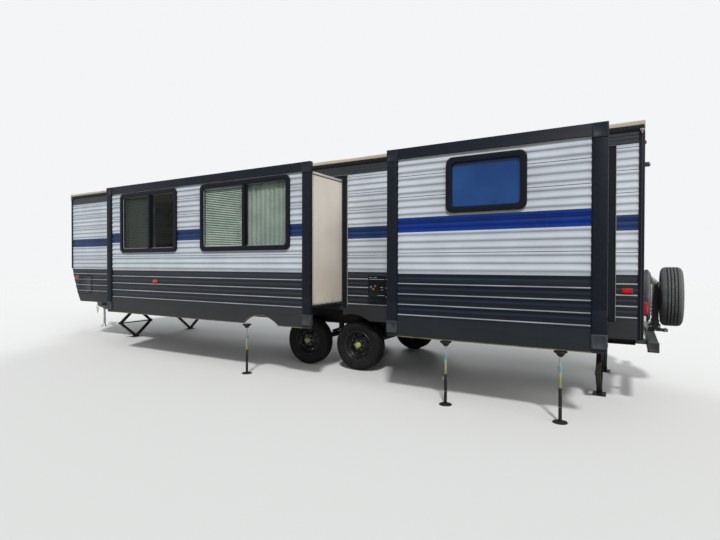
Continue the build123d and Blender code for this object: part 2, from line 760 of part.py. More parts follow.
def spring_set():
    """One side: two leaf packs over the axles, their hangers and the rocking lever between them."""
    y0 = RAIL_Y - SPRING_WIDE / 2
    y1 = RAIL_Y + SPRING_WIDE / 2
    seat = AXLE_Z + AXLE_R
    eye_z = SPRING_EYE_Z
    tip_z = eye_z - SPRING_TIP
    packs = []
    for x in AXLE_X.values():
        low = ThreePointArc((x - SPRING_HALF, tip_z), (x, seat), (x + SPRING_HALF, tip_z))
        high = ThreePointArc((x + SPRING_HALF, eye_z), (x, seat + SPRING_STACK), (x - SPRING_HALF, eye_z))
        ends = [Line(low @ 1, high @ 0), Line(high @ 1, low @ 0)]
        packs.append(extrude(side_plane(y1) * make_face([low, ends[0], high, ends[1]]), y1 - y0))
    rear_eye = AXLE_X["rear"] - SPRING_HALF
    front_eye = AXLE_X["front"] + SPRING_HALF
    middle = (AXLE_X["rear"] + AXLE_X["front"]) / 2
    for eye in (rear_eye, front_eye):
        packs.append(block(eye - HANGER_HALF, eye + HANGER_HALF, y0, y1, eye_z - 35, RAIL_LOW))
    packs.append(block(middle - 30, middle + 30, y0, y1, eye_z - 10, RAIL_LOW))
    lever = AXLE_X["rear"] + SPRING_HALF - 20
    packs.append(block(lever, 2 * middle - lever, y0, y1, tip_z, eye_z + 15))
    return join(packs)


def leaf_springs():
    road = spring_set()
    return [road, flip_y(road)]


def tyre_at_origin(radius=TYRE_R, half=TYRE_HALF, rim=RIM_R):
    """Tyre about the Y axis: a closed ring with a crowned tread and bulging walls."""
    bead = half - 33
    side = [(rim, bead), (rim + 12, bead), (rim + 36, half - 13), (rim + 88, half), (radius - 26, half - 8),
            (radius - 8, half - 24), (radius, half - 44)]
    section = side + [(r, -y) for r, y in reversed(side)]
    return revolve(Plane.XY * make_face(Polyline(*section, close=True)), Axis.Y)


def rim_at_origin(hub=True):
    """Rim about the Y axis: a barrel, two lips and a dished disc with hand holes. A hub adds its drum and cap."""
    rim = RIM_R
    lip = TYRE_HALF - 32
    face = DISC_FACE
    back = face - DISC_THICK
    dish = face - DISC_DISH
    section = [
        (rim - 9, -lip - 6), (rim + 9, -lip - 6), (rim + 9, -lip), (rim, -lip), (rim, lip), (rim + 9, lip),
        (rim + 9, lip + 6), (rim - 9, lip + 6), (rim - 16, face), (rim - 34, dish), (rim - 78, dish),
        (rim - 104, face),
    ]
    if hub:
        section += [(HUB_R, face), (HUB_R, HUB_FACE), (HUB_BORE, HUB_FACE), (HUB_BORE, DRUM_BACK)]
        section += [(DRUM_R, DRUM_BACK), (DRUM_R, DRUM_FRONT), (60, DRUM_FRONT), (60, back)]
    else:
        section += [(HUB_BORE, face), (HUB_BORE, back)]
    section += [(rim - 104, back), (rim - 78, dish - DISC_THICK), (rim - 34, dish - DISC_THICK), (rim - 9, 0)]
    wheel = revolve(Plane.XY * make_face(Polyline(*section, close=True)), Axis.Y)
    if hub:
        wheel += rod_y(0, HUB_FACE, HUB_CAP - 10, 0, HUB_R - 3)
        wheel += Pos(0, HUB_CAP - 5, 0) * Rot(-90, 0, 0) * Cone(HUB_R - 3, 30, 10)
    for hole in PolarLocations(rim - 56, HAND_HOLES):
        x, z = hole.position.X, hole.position.Y
        wheel -= rod_y(x, dish - DISC_THICK - 5, dish + 5, z, HAND_HOLE_R)
    return wheel


def place_wheel(piece, name):
    axle, side = WHEELS[name]
    turned = piece if side > 0 else Rot(0, 0, 180) * piece
    return Pos(AXLE_X[axle], side * TYRE_Y, AXLE_Z) * turned


# Tongue fittings and stands

def tongue_jack_tube():
    low = JACK_HEAD_LOW
    tube = rod_z(JACK_X, 0, JACK_TUBE_LOW, low, JACK_TUBE_R)
    tube -= rod_z(JACK_X, 0, JACK_TUBE_LOW - 5, low - 25, JACK_TUBE_BORE)
    plate = block(JACK_X - 85, JACK_X + 85, -130, 130, RAIL_LOW, RAIL_LOW + 10)
    plate -= rod_z(JACK_X, 0, RAIL_LOW - 5, RAIL_LOW + 15, JACK_TUBE_R - 2)
    shell = [(-60, 0), (60, 0), (60, 68), (44, 94), (-30, 108), (-52, 100), (-60, 82)]
    head = prism_xz([(JACK_X + x, low + z) for x, z in shell], -50, 50)
    lamp = block(JACK_X + 55, JACK_X + 72, -30, 30, low + 20, low + 52)
    return join([tube, plate, head, lamp])


def tongue_jack_leg():
    return rod_z(JACK_X, 0, 0, JACK_FOOT, JACK_FOOT_R) + rod_z(JACK_X, 0, JACK_FOOT, JACK_LEG_TOP, JACK_LEG_R)


def bar_yz(start, end, half, x0, x1):
    """A flat bar in the Y-Z plane between two points."""
    (y0, z0), (y1, z1) = start, end
    length = hypot(y1 - y0, z1 - z0)
    ny = -(z1 - z0) / length * half
    nz = (y1 - y0) / length * half
    corners = [(y0 + ny, z0 + nz), (y1 + ny, z1 + nz), (y1 - ny, z1 - nz), (y0 - ny, z0 - nz)]
    return prism_yz(corners, x0, x1)


def stabilizer_jack(x, y):
    """Scissor jack: a top bracket, four arms, two knuckles on a screw and a foot."""
    middle = (STABILIZER_LOW_PIN + STABILIZER_HIGH_PIN) / 2
    pieces = [
        block(x - 45, x + 45, y - 60, y + 110, 612, RAIL_LOW), block(x - 30, x + 30, y - 50, y + 50, 570, 612),
    ]
    for side in (-1, 1):
        knuckle = (y + side * STABILIZER_SPREAD, middle)
        for pin_z in (STABILIZER_LOW_PIN, STABILIZER_HIGH_PIN):
            pin = (y + side * STABILIZER_PIVOT, pin_z)
            pieces.append(bar_yz(pin, knuckle, 20, x - 26, x + 26))
        pieces.append(rod_x(x - 30, x + 30, knuckle[0], knuckle[1], 26))
    pieces.append(rod_y(x, y - STABILIZER_SPREAD - 10, y + STABILIZER_SPREAD + 50, middle, 11))
    pieces.append(block(x - 30, x + 30, y - 50, y + 50, 8, 62))
    pieces.append(block(x - 70, x + 70, y - 100, y + 100, 0, 8))
    return join(pieces)


def stabilizer_jacks():
    jacks = []
    for x in STABILIZER_X:
        jack = stabilizer_jack(x, STABILIZER_Y)
        jacks += [jack, flip_y(jack)]
    return jacks


def slide_support_stands():
    stands = []
    for x in STAND_X:
        low = 0
        steps = []
        for top, radius in STAND_STEPS:
            steps.append(rod_z(x, STAND_Y, low, top, radius))
            low = top
        stands.append(join(steps))
    return stands


def gas_cylinder():
    """Bottle, foot ring, collar with a slot for the valve, valve and handwheel, about its own axis."""
    low = TRAY_TOP
    side = low + 110
    shoulder = low + 270
    crown = low + 392
    outline = [
        Line((0, low + 35), (80, low + 28)),
        ThreePointArc((80, low + 28), (136, low + 62), (CYLINDER_R, side)),
        Line((CYLINDER_R, side), (CYLINDER_R, shoulder)),
        ThreePointArc((CYLINDER_R, shoulder), (118, low + 364), (40, crown)),
        Line((40, crown), (0, crown)),
        Line((0, crown), (0, low + 35)),
    ]
    bottle = revolve(Plane.XZ * make_face(outline), Axis.Z)
    foot = rod_z(0, 0, low, low + 45, 106) - rod_z(0, 0, low - 5, low + 50, 98)
    collar = rod_z(0, 0, crown - 22, crown + 86, 100) - rod_z(0, 0, crown - 30, crown + 91, 92)
    collar -= block(-120, -40, -50, 50, crown + 20, crown + 95)
    valve = rod_z(0, 0, crown - 5, crown + 50, 16) + rod_z(0, 0, crown + 50, crown + 64, 30)
    return join([bottle, foot, collar, valve])


def gas_cylinders():
    """Two cylinders on one tray across the tongue bars, held down by a bar on a threaded rod."""
    pieces = [block(*TRAY_X, -TRAY_HALF, TRAY_HALF, RAIL_LOW, TRAY_TOP)]
    for side in (-1, 1):
        pieces.append(Pos(CYLINDER_X, side * CYLINDER_Y, 0) * gas_cylinder())
    pieces.append(rod_z(CYLINDER_X, 0, TRAY_TOP, HOLD_DOWN_Z + 35, 8))
    pieces.append(block(CYLINDER_X - 25, CYLINDER_X + 25, -80, 80, HOLD_DOWN_Z, HOLD_DOWN_Z + 8))
    return join(pieces)


def battery_box():
    """Tub under a wider lid."""
    x0, x1 = BATTERY_X
    half = BATTERY_HALF
    over = half + LID_OVER
    lid = block(x0 - LID_OVER, x1 + LID_OVER, -over, over, *LID_Z)
    return block(x0, x1, -half, half, TRAY_TOP, BATTERY_TOP) + lid


def entry_steps():
    """Two treads on side plates under two runners that slide below the floor."""
    x0, x1 = STEP_X
    low, high = STEP_TOPS
    under = low - STEP_THICK
    side = [
        (-1560, under), (-1430, under), (-1390, high - 10), (-1400, RUNNER_TOP), (-1460, RUNNER_TOP),
        (-1560, low + 15),
    ]
    pieces = [
        block(x0, x1, -1490, -1240, high - STEP_THICK, high),
        block(x0, x1, STEP_OUT, -1420, under, low),
    ]
    for x in (x0, x1 - 20):
        pieces.append(block(x, x + 20, -1500, -1050, RUNNER_TOP - 42, RUNNER_TOP))
        pieces.append(prism_yz(side, x, x + 20))
    return join(pieces)


def step_guides():
    x0, x1 = STEP_X
    return [block(x, x + 50, -OUTRIGGER_END, -850, RUNNER_TOP + 6, 690) for x in (x0 - 15, x1 - 35)]


# Back end

def rear_bumper():
    """Square tube across the back on two stubs from the chassis."""
    x0, x1 = BUMPER_X
    z0, z1 = BUMPER_Z
    bumper = block(x0, x1, -BUMPER_HALF, BUMPER_HALF, z0, z1)
    for end in (-BUMPER_HALF - BUMPER_CAP, BUMPER_HALF):
        bumper += block(x0 - 3, x1 + 3, end, end + BUMPER_CAP, z0 - 3, z1 + 3)
    for y in (RAIL_Y, -RAIL_Y):
        bumper += block(x1, RAIL_REAR, y - 30, y + 30, z0 + 40, z1 - 2)
    return bumper


def spare_carrier():
    """Base bar and socket on the bumper, upright post, stub that clamps the outer spare, and slanted strap."""
    disc_back = SPARE_X - DISC_FACE + DISC_THICK
    disc_face = SPARE_X - DISC_FACE
    pieces = [block(b["x0"], b["x1"], -b["half"], b["half"], b["z0"], b["z1"]) for b in CARRIER]
    post = CARRIER[-1]
    x = post["x1"]
    top = post["z1"]
    strap = [(x - 82, top), (x - 82, top + 16), (x + 14, top + 116), (x + 18, top + 100), (x, top)]
    pieces += [
        rod_x(disc_face - 10, x, 0, SPARE_Z, 24),
        rod_x(disc_back, disc_back + 10, 0, SPARE_Z, 80),
        rod_x(disc_face - 12, disc_face, 0, SPARE_Z, 45),
        prism_xz(strap, -30, 30),
    ]
    return join(pieces)


def spare_tyres():
    outer = Pos(SPARE_X, 0, SPARE_Z) * Rot(0, 0, 90) * tyre_at_origin()
    inner_ring = tyre_at_origin(INNER_SPARE_R, INNER_SPARE_HALF, INNER_SPARE_RIM)
    inner = Pos(INNER_SPARE_X, 0, SPARE_Z) * Rot(0, 0, 90) * inner_ring
    return [outer, inner]


def spare_rims():
    outer = Pos(SPARE_X, 0, SPARE_Z) * Rot(0, 0, 90) * rim_at_origin(hub=False)
    plate = rod_x(INNER_SPARE_X - 5, INNER_SPARE_X + 5, 0, SPARE_Z, INNER_SPARE_RIM)
    return [outer, plate]


def side_marker(lamp, y_out):
    """A side lamp seated on the shallower band of the top dark course, a little behind the wall's outer plane."""
    seat = y_out - LEDGE_SHAPE[5][1]
    out = y_out + MARKER_OUT
    slope = MARKER_SLOPE
    x0, x1, z0, z1 = lamp["x0"], lamp["x1"], lamp["z0"], lamp["z1"]
    lens = prism_yz([(seat, z0), (out, z0 + slope), (out, z1 - slope), (seat, z1)], x0, x1)
    return lens & prism_xy([(x0, seat), (x0 + slope, out), (x1 - slope, out), (x1, seat)], z0, z1)


def tail_lamp(lamp):
    """A lamp on the rear wall whose lens narrows outwards."""
    y0 = lamp["y0"]
    y1 = lamp["y1"]
    deep = lamp["deep"]
    slope = deep / 3
    return prism_xy([(0, y0), (0, y1), (-deep, y1 - slope), (-deep, y0 + slope)], lamp["z0"], lamp["z1"])


def red_lamps():
    one_side = [tail_lamp(lamp) for lamp in TAIL_LAMPS] + [side_marker(REAR_MARKER, HALF_WIDTH)]
    return one_side + [flip_y(lamp) for lamp in one_side]


def amber_lamps():
    lamp = side_marker(FRONT_MARKER, HALF_WIDTH)
    return [lamp, flip_y(lamp)]


def front_slide_lamp():
    return side_marker(SLIDE_MARKER, FACE_OUT)


def docking_panel():
    out = HALF_WIDTH + PANEL_OUT
    face = out - 4
    rim = PANEL_RIM
    x0, x1, z0, z1 = PANEL["x0"], PANEL["x1"], PANEL["z0"], PANEL["z1"]
    panel = block(x0, x1, HALF_WIDTH, out, z0, z1)
    panel -= block(x0 + rim, x1 - rim, face, face + 10, z0 + rim, z1 - rim)
    for knob in PANEL_KNOBS:
        panel += rod_y(knob["x"], face, face + 8, knob["z"], knob["r"])
        panel += rod_y(knob["x"], face + 8, face + 24, knob["z"], knob["r"] * 0.6)
    return panel


# Roof and kerb side fittings

def air_conditioner():
    """Shroud that slopes in on all sides, with upright louvre slots along both flanks."""
    x0, x1 = COOLER_X
    low = ROOF_FLAT_TOP
    top = COOLER_TOP
    half = COOLER_HALF
    sides = [
        (x0, low), (x0 + 30, top - 120), (x0 + 85, top - 32), (x0 + 160, top - 6), (x1 - 180, top),
        (x1 - 80, top - 36), (x1 - 22, top - 120), (x1, low),
    ]
    flank = [(half, low), (half - 6, low + 55), (half - 40, top - 20), (half - 80, top + 5)]
    ends = flank + [(-y, z) for y, z in reversed(flank)]
    shroud = prism_xz(sides, -half - 5, half + 5) & prism_yz(ends, x0 - 10, x1 + 10)
    for slot in range(LOUVRES):
        x = x0 + 180 + slot * LOUVRE_PITCH
        for y in (12 - half, half - 12):
            shroud -= block(x, x + LOUVRE_PITCH / 2, y - 25, y + 25, top - 170, top - 80)
    return shroud


def roof_vent(x):
    """Flange, neck and a lid that overhangs it, with sloped sides."""
    low = ROOF_FLAT_TOP
    base = block(x - 210, x + 210, -210, 210, low, low + 12)
    base += block(x - 190, x + 190, -190, 190, low + 12, low + 45)
    lid = extrude(plan_plane(low + 45) * Pos(x, 0) * Rectangle(410, 410), 50, taper=22)
    return base + lid


def roof_vents():
    vents = [roof_vent(x) for x in VENT_X]
    low = ROOF_FLAT_TOP
    for place in VENT_PIPES:
        x = place["x"]
        y = place["y"]
        pipe = rod_z(x, y, low, low + 84, 33) + rod_z(x, y, low, low + 5, 70)
        vents.append(pipe + Pos(x, y, low + 97) * Cone(52, 34, 26))
    return vents


def awning():
    """Rolled awning along the kerb-side wall between two end caps, with its folded arms on wall brackets."""
    out = -HALF_WIDTH
    x0, x1 = AWNING_X
    low, top = ARM_Z
    roll = rod_x(x0, x1, AWNING_Y, AWNING_Z, AWNING_R - 2)
    for x in (x0 - AWNING_CAP, x1):
        roll += block(x, x + AWNING_CAP, AWNING_Y - AWNING_R, out - 3, AWNING_Z - 52, AWNING_Z + 46)
    for x in ARM_X:
        roll += block(x, x + 46, out - 42, out - 16, low, top)
        roll += block(x + 10, x + 36, out - 52, out - 42, low + 150, top - 70)
        for z in (low, top - 150):
            roll += block(x - 8, x + 54, out - 20, out, z, z + 90)
    return roll


def grab_rail(x):
    """Upright handle on two standoffs with foot plates."""
    out = -HALF_WIDTH
    rail = rod_z(x, out - 65, 1050, 1650, 14)
    for z in (1070, 1630):
        rail += rod_y(x, out - 65, out - 6, z, 11)
        rail += block(x - 25, x + 25, out - 6, out, z - 30, z + 30)
    return rail


def wall_plate(p):
    return block(p["x0"], p["x1"], -HALF_WIDTH - p["out"], -HALF_WIDTH, p["z0"], p["z1"])


def fridge_vent():
    """A framed plate with level louvre slots."""
    v = FRIDGE_VENT
    vent = wall_plate(v)
    for slot in range(VENT_SLOTS):
        z = v["z0"] + 30 + slot * VENT_SLOT_PITCH
        vent -= block(v["x0"] + 25, v["x1"] - 25, -HALF_WIDTH - 20, -HALF_WIDTH - 6, z, z + VENT_SLOT_PITCH / 2)
    return vent


def holding_tanks():
    """Two tanks between the rails, and the waste pipe that drops from the first and runs to the kerb side."""
    rear, front = [block(*TANK_X[i], -TANK_HALF, TANK_HALF, TANK_LOW, FLOOR_LOW) for i in (0, 1)]
    pipe = rod_z(WASTE_X, -500, WASTE_Z - 20, TANK_LOW + 10, WASTE_R - 4)
    pipe += rod_y(WASTE_X, -1080, -455, WASTE_Z, WASTE_R)
    pipe += rod_y(WASTE_X, -1105, -1080, WASTE_Z, WASTE_R + 8)
    return [rear + pipe, front]


def curb_side_fittings():
    """Grab rail by the door, refrigerator vent, water heater door, porch lamp and power inlet."""
    plates = [wall_plate(p) for p in (HEATER_DOOR, PORCH_LAMP, POWER_INLET)]
    return [grab_rail(GRAB_RAIL_X), fridge_vent(), *plates]


def whole():
    """Every node with its solids, in the body frame."""
    nodes = {
        "chassis_rails": chassis_rails(),
        "cross_members": cross_members() + step_guides(),
        "tongue_frame": [tongue_frame()],
        "hitch_coupler": [hitch_coupler()],
        "axles": axles(),
        "leaf_springs": leaf_springs(),
        "floor_deck": [floor_deck()],
        "road_wall": [road_wall()],
        "curb_wall": [curb_wall()],
        "front_wall": [front_wall()],
        "rear_wall": [rear_wall()],
        "roof": [roof()],
        "corner_trims": corner_trims(),
        "slide_opening_trims": slide_opening_trims(),
        "curb_window_frames": curb_window_frames(),
        "curb_window_glass": curb_window_glass(),
        "air_conditioner": [air_conditioner()],
        "roof_vents": roof_vents(),
        "rear_bumper": [rear_bumper()],
        "spare_carrier": [spare_carrier()],
        "spare_rims": spare_rims(),
        "spare_tyres": spare_tyres(),
        "gas_cylinders": [gas_cylinders()],
        "battery_box": [battery_box()],
        "tongue_jack_tube": [tongue_jack_tube()],
        "tongue_jack_leg": [tongue_jack_leg()],
        "stabilizer_jacks": stabilizer_jacks(),
        "slide_support_stands": slide_support_stands(),
        "awning": [awning()],
        "red_lamps": red_lamps(),
        "amber_lamps": amber_lamps(),
        "docking_panel": [docking_panel()],
        "curb_side_fittings": curb_side_fittings(),
        "holding_tanks": holding_tanks(),
        "entry_door": [entry_door()],
        "entry_door_glass": [entry_door_glass()],
        "entry_steps": [entry_steps()],
        "road_baggage_door": [baggage_door()],
        "curb_baggage_door": [flip_y(baggage_door())],
    }
    for name in SLIDES:
        nodes[f"{name}_face"] = [slide_face(name)]
        nodes[f"{name}_trim"] = [slide_trim(name)]
        nodes[f"{name}_end_walls"] = slide_end_walls(name)
        nodes[f"{name}_floor_and_roof"] = slide_floor_and_roof(name)
        nodes[f"{name}_window_frames"] = slide_window_frames(name)
        nodes[f"{name}_window_glass"] = slide_window_glass(name)
    nodes["front_slide_lamp"] = [front_slide_lamp()]
    rim = rim_at_origin()
    tyre = tyre_at_origin()
    for name in WHEELS:
        nodes[f"{name}_wheel"] = [place_wheel(rim, name)]
        nodes[f"{name}_tyre"] = [place_wheel(tyre, name)]
    return nodes


os.makedirs("parts", exist_ok=True)
for node, solids in whole().items():
    placed = [Pos(-ORIGIN_X, -ORIGIN_Y, 0) * solid for solid in solids]
    export_step(Compound(children=placed) if len(placed) > 1 else placed[0], f"parts/{node}.step")
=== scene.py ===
import bpy
import json
from math import asin, atan2, cos, pi, radians, sin
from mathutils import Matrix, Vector

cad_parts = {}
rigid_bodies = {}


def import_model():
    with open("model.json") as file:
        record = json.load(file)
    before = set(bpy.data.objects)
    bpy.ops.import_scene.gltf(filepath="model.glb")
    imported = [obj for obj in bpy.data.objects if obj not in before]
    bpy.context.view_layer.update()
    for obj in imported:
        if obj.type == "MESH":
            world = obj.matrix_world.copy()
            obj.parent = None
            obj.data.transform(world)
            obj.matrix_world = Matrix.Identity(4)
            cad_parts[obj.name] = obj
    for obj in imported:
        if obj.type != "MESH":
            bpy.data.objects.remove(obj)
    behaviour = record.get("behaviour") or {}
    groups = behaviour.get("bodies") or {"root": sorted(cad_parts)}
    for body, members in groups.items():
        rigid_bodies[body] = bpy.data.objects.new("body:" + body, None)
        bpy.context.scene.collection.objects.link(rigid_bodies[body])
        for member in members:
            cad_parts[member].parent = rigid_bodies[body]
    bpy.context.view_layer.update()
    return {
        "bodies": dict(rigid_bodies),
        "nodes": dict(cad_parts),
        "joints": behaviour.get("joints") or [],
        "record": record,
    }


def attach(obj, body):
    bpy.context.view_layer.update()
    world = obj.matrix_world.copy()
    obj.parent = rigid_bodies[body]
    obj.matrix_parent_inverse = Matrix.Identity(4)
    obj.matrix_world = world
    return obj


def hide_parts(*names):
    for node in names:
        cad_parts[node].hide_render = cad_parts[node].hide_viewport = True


# Travel caravan, parked with both slide-outs open. Metres, Z up.
# Tuples count lengths from the body's rear wall and widths from its centreline; at() moves them to the frame.
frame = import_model()
cadNodes = frame["nodes"]
rearWall = -5.679
centreLine = -0.210
chassis = "body_and_chassis"
forward, backward, roadward, kerbward, upward = (1, 0, 0), (-1, 0, 0), (0, 1, 0), (0, -1, 0), (0, 0, 1)


def at(x, y, z):
    return Vector((x + rearWall, y + centreLine, z))


def placed(point):
    return point if isinstance(point, Vector) else at(*point)


# Modelling

def letGo():
    if bpy.context.mode != "OBJECT":
        bpy.ops.object.mode_set(mode="OBJECT")
    bpy.ops.object.select_all(action="DESELECT")


def pick(*pieces):
    letGo()
    for piece in pieces:
        piece.select_set(True)
    bpy.context.view_layer.objects.active = pieces[0]


def edit(piece, kind="FACE", action="SELECT"):
    pick(piece)
    bpy.ops.object.mode_set(mode="EDIT")
    bpy.ops.mesh.select_mode(type=kind)
    bpy.ops.mesh.select_all(action=action)


def everything():
    bpy.ops.mesh.select_all(action="SELECT")


def outwards():
    bpy.ops.mesh.normals_make_consistent(inside=False)


def editOnly(piece, kind, wanted):
    # edit mode with only the wanted faces, edges or points selected
    edit(piece, kind, "DESELECT")
    bpy.ops.object.mode_set(mode="OBJECT")
    for part in {"FACE": piece.data.polygons, "EDGE": piece.data.edges, "VERT": piece.data.vertices}[kind]:
        part.select = wanted(part)
    bpy.ops.object.mode_set(mode="EDIT")


def recess(piece, facing, *steps):
    # insets the faces that look one way, each step (inward, outward)
    editOnly(piece, "FACE", lambda face: face.normal.dot(Vector(facing)) > 0.99)
    for inward, outward in steps:
        bpy.ops.mesh.inset(thickness=inward, depth=outward)


def done(piece, smoothAngle=None):
    pick(piece)
    if smoothAngle:
        bpy.ops.object.shade_smooth_by_angle(angle=radians(smoothAngle))
    letGo()
    return piece


def added():
    # the new primitive, with its place and size in its mesh
    piece = bpy.context.object
    pick(piece)
    bpy.ops.object.transform_apply(location=True, rotation=True, scale=True)
    return piece


def modify(piece, kind, **settings):
    pick(piece)
    modifier = piece.modifiers.new(kind.title(), kind)
    for name, value in settings.items():
        setattr(modifier, name, value)
    bpy.ops.object.modifier_apply(modifier=modifier.name)
    return piece


def arrayed(piece, count, move):
    return modify(piece, "ARRAY", count=count, use_relative_offset=False, use_constant_offset=True,
                  constant_offset_displace=move)


def bevelled(piece, width, segments, angle):
    return modify(piece, "BEVEL", width=width, segments=segments, limit_method="ANGLE", angle_limit=radians(angle))


def cut(piece, cutter):
    modify(piece, "BOOLEAN", object=cutter, operation="DIFFERENCE", solver="EXACT")
    bpy.data.objects.remove(cutter)
    return piece


def board(first, second, edge=0.0, segments=2):
    # a block between two corners, given in any order, with its edges bevelled
    letGo()
    low, high = [Vector([end(*pair) for pair in zip(placed(first), placed(second))]) for end in (min, max)]
    bpy.ops.mesh.primitive_cube_add(size=1, location=(low + high) / 2, scale=high - low)
    piece = added()
    if edge:
        edit(piece)
        bpy.ops.mesh.bevel(offset=edge, segments=segments)
    return done(piece, 40)


def rod(start, end, radius, sides=20, edge=0.0, endRadius=None):
    # a round bar or taper between two points, its rims bevelled
    letGo()
    start, end = placed(start), placed(end)
    along = end - start
    bpy.ops.mesh.primitive_cone_add(
        vertices=sides, radius1=radius, radius2=radius if endRadius is None else endRadius, depth=along.length,
        location=(start + end) / 2, rotation=along.to_track_quat("Z", "Y").to_euler())
    piece = added()
    if edge:
        bevelled(piece, edge, 2, 50)
    return done(piece, 40)


def extrude(move):
    bpy.ops.mesh.extrude_region_move(TRANSFORM_OT_translate={"value": move})


def drawn(points):
    # a line of vertices, drawn by extruding the last one, and all selected
    letGo()
    bpy.ops.mesh.primitive_plane_add(size=0.01, location=points[0])
    piece = added()
    edit(piece, "VERT")
    bpy.ops.mesh.merge(type="CENTER")
    for last, point in zip(points, points[1:]):
        extrude(point - last)
    everything()
    return piece


def turned(profile, centre, steps, axis=upward):
    # spins (radius, along) points about an axis through centre
    centre, along = placed(centre), Vector(axis)
    out = Vector(upward if abs(along.z) < 0.5 else forward)
    piece = drawn([centre + out * radius + along * reach for radius, reach in profile])
    bpy.ops.mesh.spin(steps=steps, angle=2 * pi, center=centre, axis=axis)
    everything()
    bpy.ops.mesh.remove_doubles(threshold=0.00002)
    outwards()
    return done(piece, 35)


def pushed(outline, move, edge=0.0):
    # a closed outline of points, filled and extruded
    piece = drawn(outline)
    bpy.ops.mesh.edge_face_add()
    extrude(move)
    everything()
    outwards()
    if edge:
        bevelled(piece, edge, 2, 30)
    return done(piece, 35)


def prism(axis, start, length, outline, edge=0.0):
    # an outline across one axis, given in the other two, and pushed along it from start
    k = "xyz".index(axis)
    points = [at(*pair[:k], start, *pair[k:]) for pair in outline]
    return pushed(points, Vector([length if axis == letter else 0 for letter in "xyz"]), edge)


def ribbon(points, move, thickness, smoothAngle):
    # a line of points swept one way, with a wall
    piece = drawn(points)
    extrude(move)
    modify(piece, "SOLIDIFY", thickness=thickness, offset=0)
    return done(piece, smoothAngle)


def roundedSheet(x0, x1, z0, z1, radius, y):
    letGo()
    bpy.ops.mesh.primitive_plane_add(size=1, location=((x0 + x1) / 2, y, (z0 + z1) / 2), rotation=(-pi / 2, 0, 0))
    bpy.context.object.scale = (x1 - x0, z1 - z0, 1)
    piece = added()
    edit(piece)
    bpy.ops.mesh.bevel(offset=radius, segments=8, affect="VERTICES")
    return piece


def windowRing(x0, x1, z0, z1, radius, wide, y, thick, edge, inner=0.004):
    # a rounded picture frame that stands thick proud of the plane y, bridged between two outlines
    x0, x1, y = x0 + rearWall, x1 + rearWall, y + centreLine
    piece = joined([roundedSheet(x0, x1, z0, z1, radius, y),
                    roundedSheet(x0 + wide, x1 - wide, z0 + wide, z1 - wide, max(radius - wide, inner), y)])
    edit(piece)
    bpy.ops.mesh.delete(type="ONLY_FACE")
    bpy.ops.mesh.select_mode(type="EDGE")
    everything()
    bpy.ops.mesh.bridge_edge_loops()
    modify(piece, "SOLIDIFY", thickness=abs(thick), offset=1 if thick > 0 else -1)
    edit(piece)
    outwards()
    bevelled(piece, edge, 3, 50)
    return done(piece, 35)


def copied(piece, move=(0, 0, 0)):
    pick(piece)
    bpy.ops.object.duplicate(linked=False)
    twin = bpy.context.object
    twin.location = Vector(move)
    bpy.ops.object.transform_apply(location=True, rotation=False, scale=False)
    return twin


def mirroredWidth(piece):
    # the same piece on the other side of the centreline
    pick(piece)
    bpy.ops.object.duplicate(linked=False)
    twin = bpy.context.object
    twin.scale.y = -1
    twin.location.y = 2 * centreLine
    bpy.ops.object.transform_apply(location=True, rotation=False, scale=True)
    edit(twin)
    outwards()
    return done(twin)


def joined(pieces):
    pick(*pieces)
    if len(pieces) > 1:
        bpy.ops.object.join()
    return done(bpy.context.object)


def spread(piece, moves):
    # copies of one piece, joined into it
    return joined([piece] + [copied(piece, move) for move in moves])


def cadCopy(node, smoothAngle=38):
    # the CAD node's own shape, merged and smoothed, to carry finer shading
    letGo()
    piece = bpy.data.objects.new(node, cadNodes[node].data.copy())
    bpy.context.scene.collection.objects.link(piece)
    edit(piece)
    bpy.ops.mesh.customdata_custom_splitnormals_clear()
    bpy.ops.mesh.remove_doubles(threshold=0.00003)
    return done(piece, smoothAngle)


def mount(name, pieces, paint, body=chassis, stands=(), smooth=None):
    # joins the pieces to one, paints it and seats it on its body
    piece = done(joined(pieces), smooth)
    piece.name = name
    piece.data.materials.clear()
    piece.data.materials.append(paints[paint].material)
    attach(piece, body)
    if stands:
        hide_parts(*stands)
    return piece


# Finishes

def rgb(red, green, blue):
    return (*[((c / 255 + 0.055) / 1.055) ** 2.4 if c > 10 else c / 255 / 12.92 for c in (red, green, blue)], 1)


class Signal:
    # one node socket; arithmetic on it adds Math nodes
    def __init__(self, paint, socket):
        self.paint = paint
        self.socket = socket

    def math(self, operation, *values):
        return self.paint.node("ShaderNodeMath", {"operation": operation}, dict(enumerate(values)))

    def __add__(self, other):
        return self.math("ADD", self, other)

    def __sub__(self, other):
        return self.math("SUBTRACT", self, other)

    def __rsub__(self, other):
        return self.math("SUBTRACT", other, self)

    def __mul__(self, other):
        return self.math("MULTIPLY", self, other)

    def __truediv__(self, other):
        return self.math("DIVIDE", self, other)

    def __mod__(self, other):
        return self.math("FLOORED_MODULO", self, other)

    def __gt__(self, other):
        return self.math("GREATER_THAN", self, other)

    def __lt__(self, other):
        return self.math("LESS_THAN", self, other)

    __radd__ = __add__
    __rmul__ = __mul__

    def away(self):
        return self.math("ABSOLUTE", self)

    def rise(self, low, high):
        values = {"Value": self, "From Min": low, "From Max": high}
        return self.paint.node("ShaderNodeMapRange", {"interpolation_type": "SMOOTHSTEP"}, values)

    def band(self, low, high, soft=0.001):
        return self.rise(low - soft, low + soft) * (1 - self.rise(high - soft, high + soft))


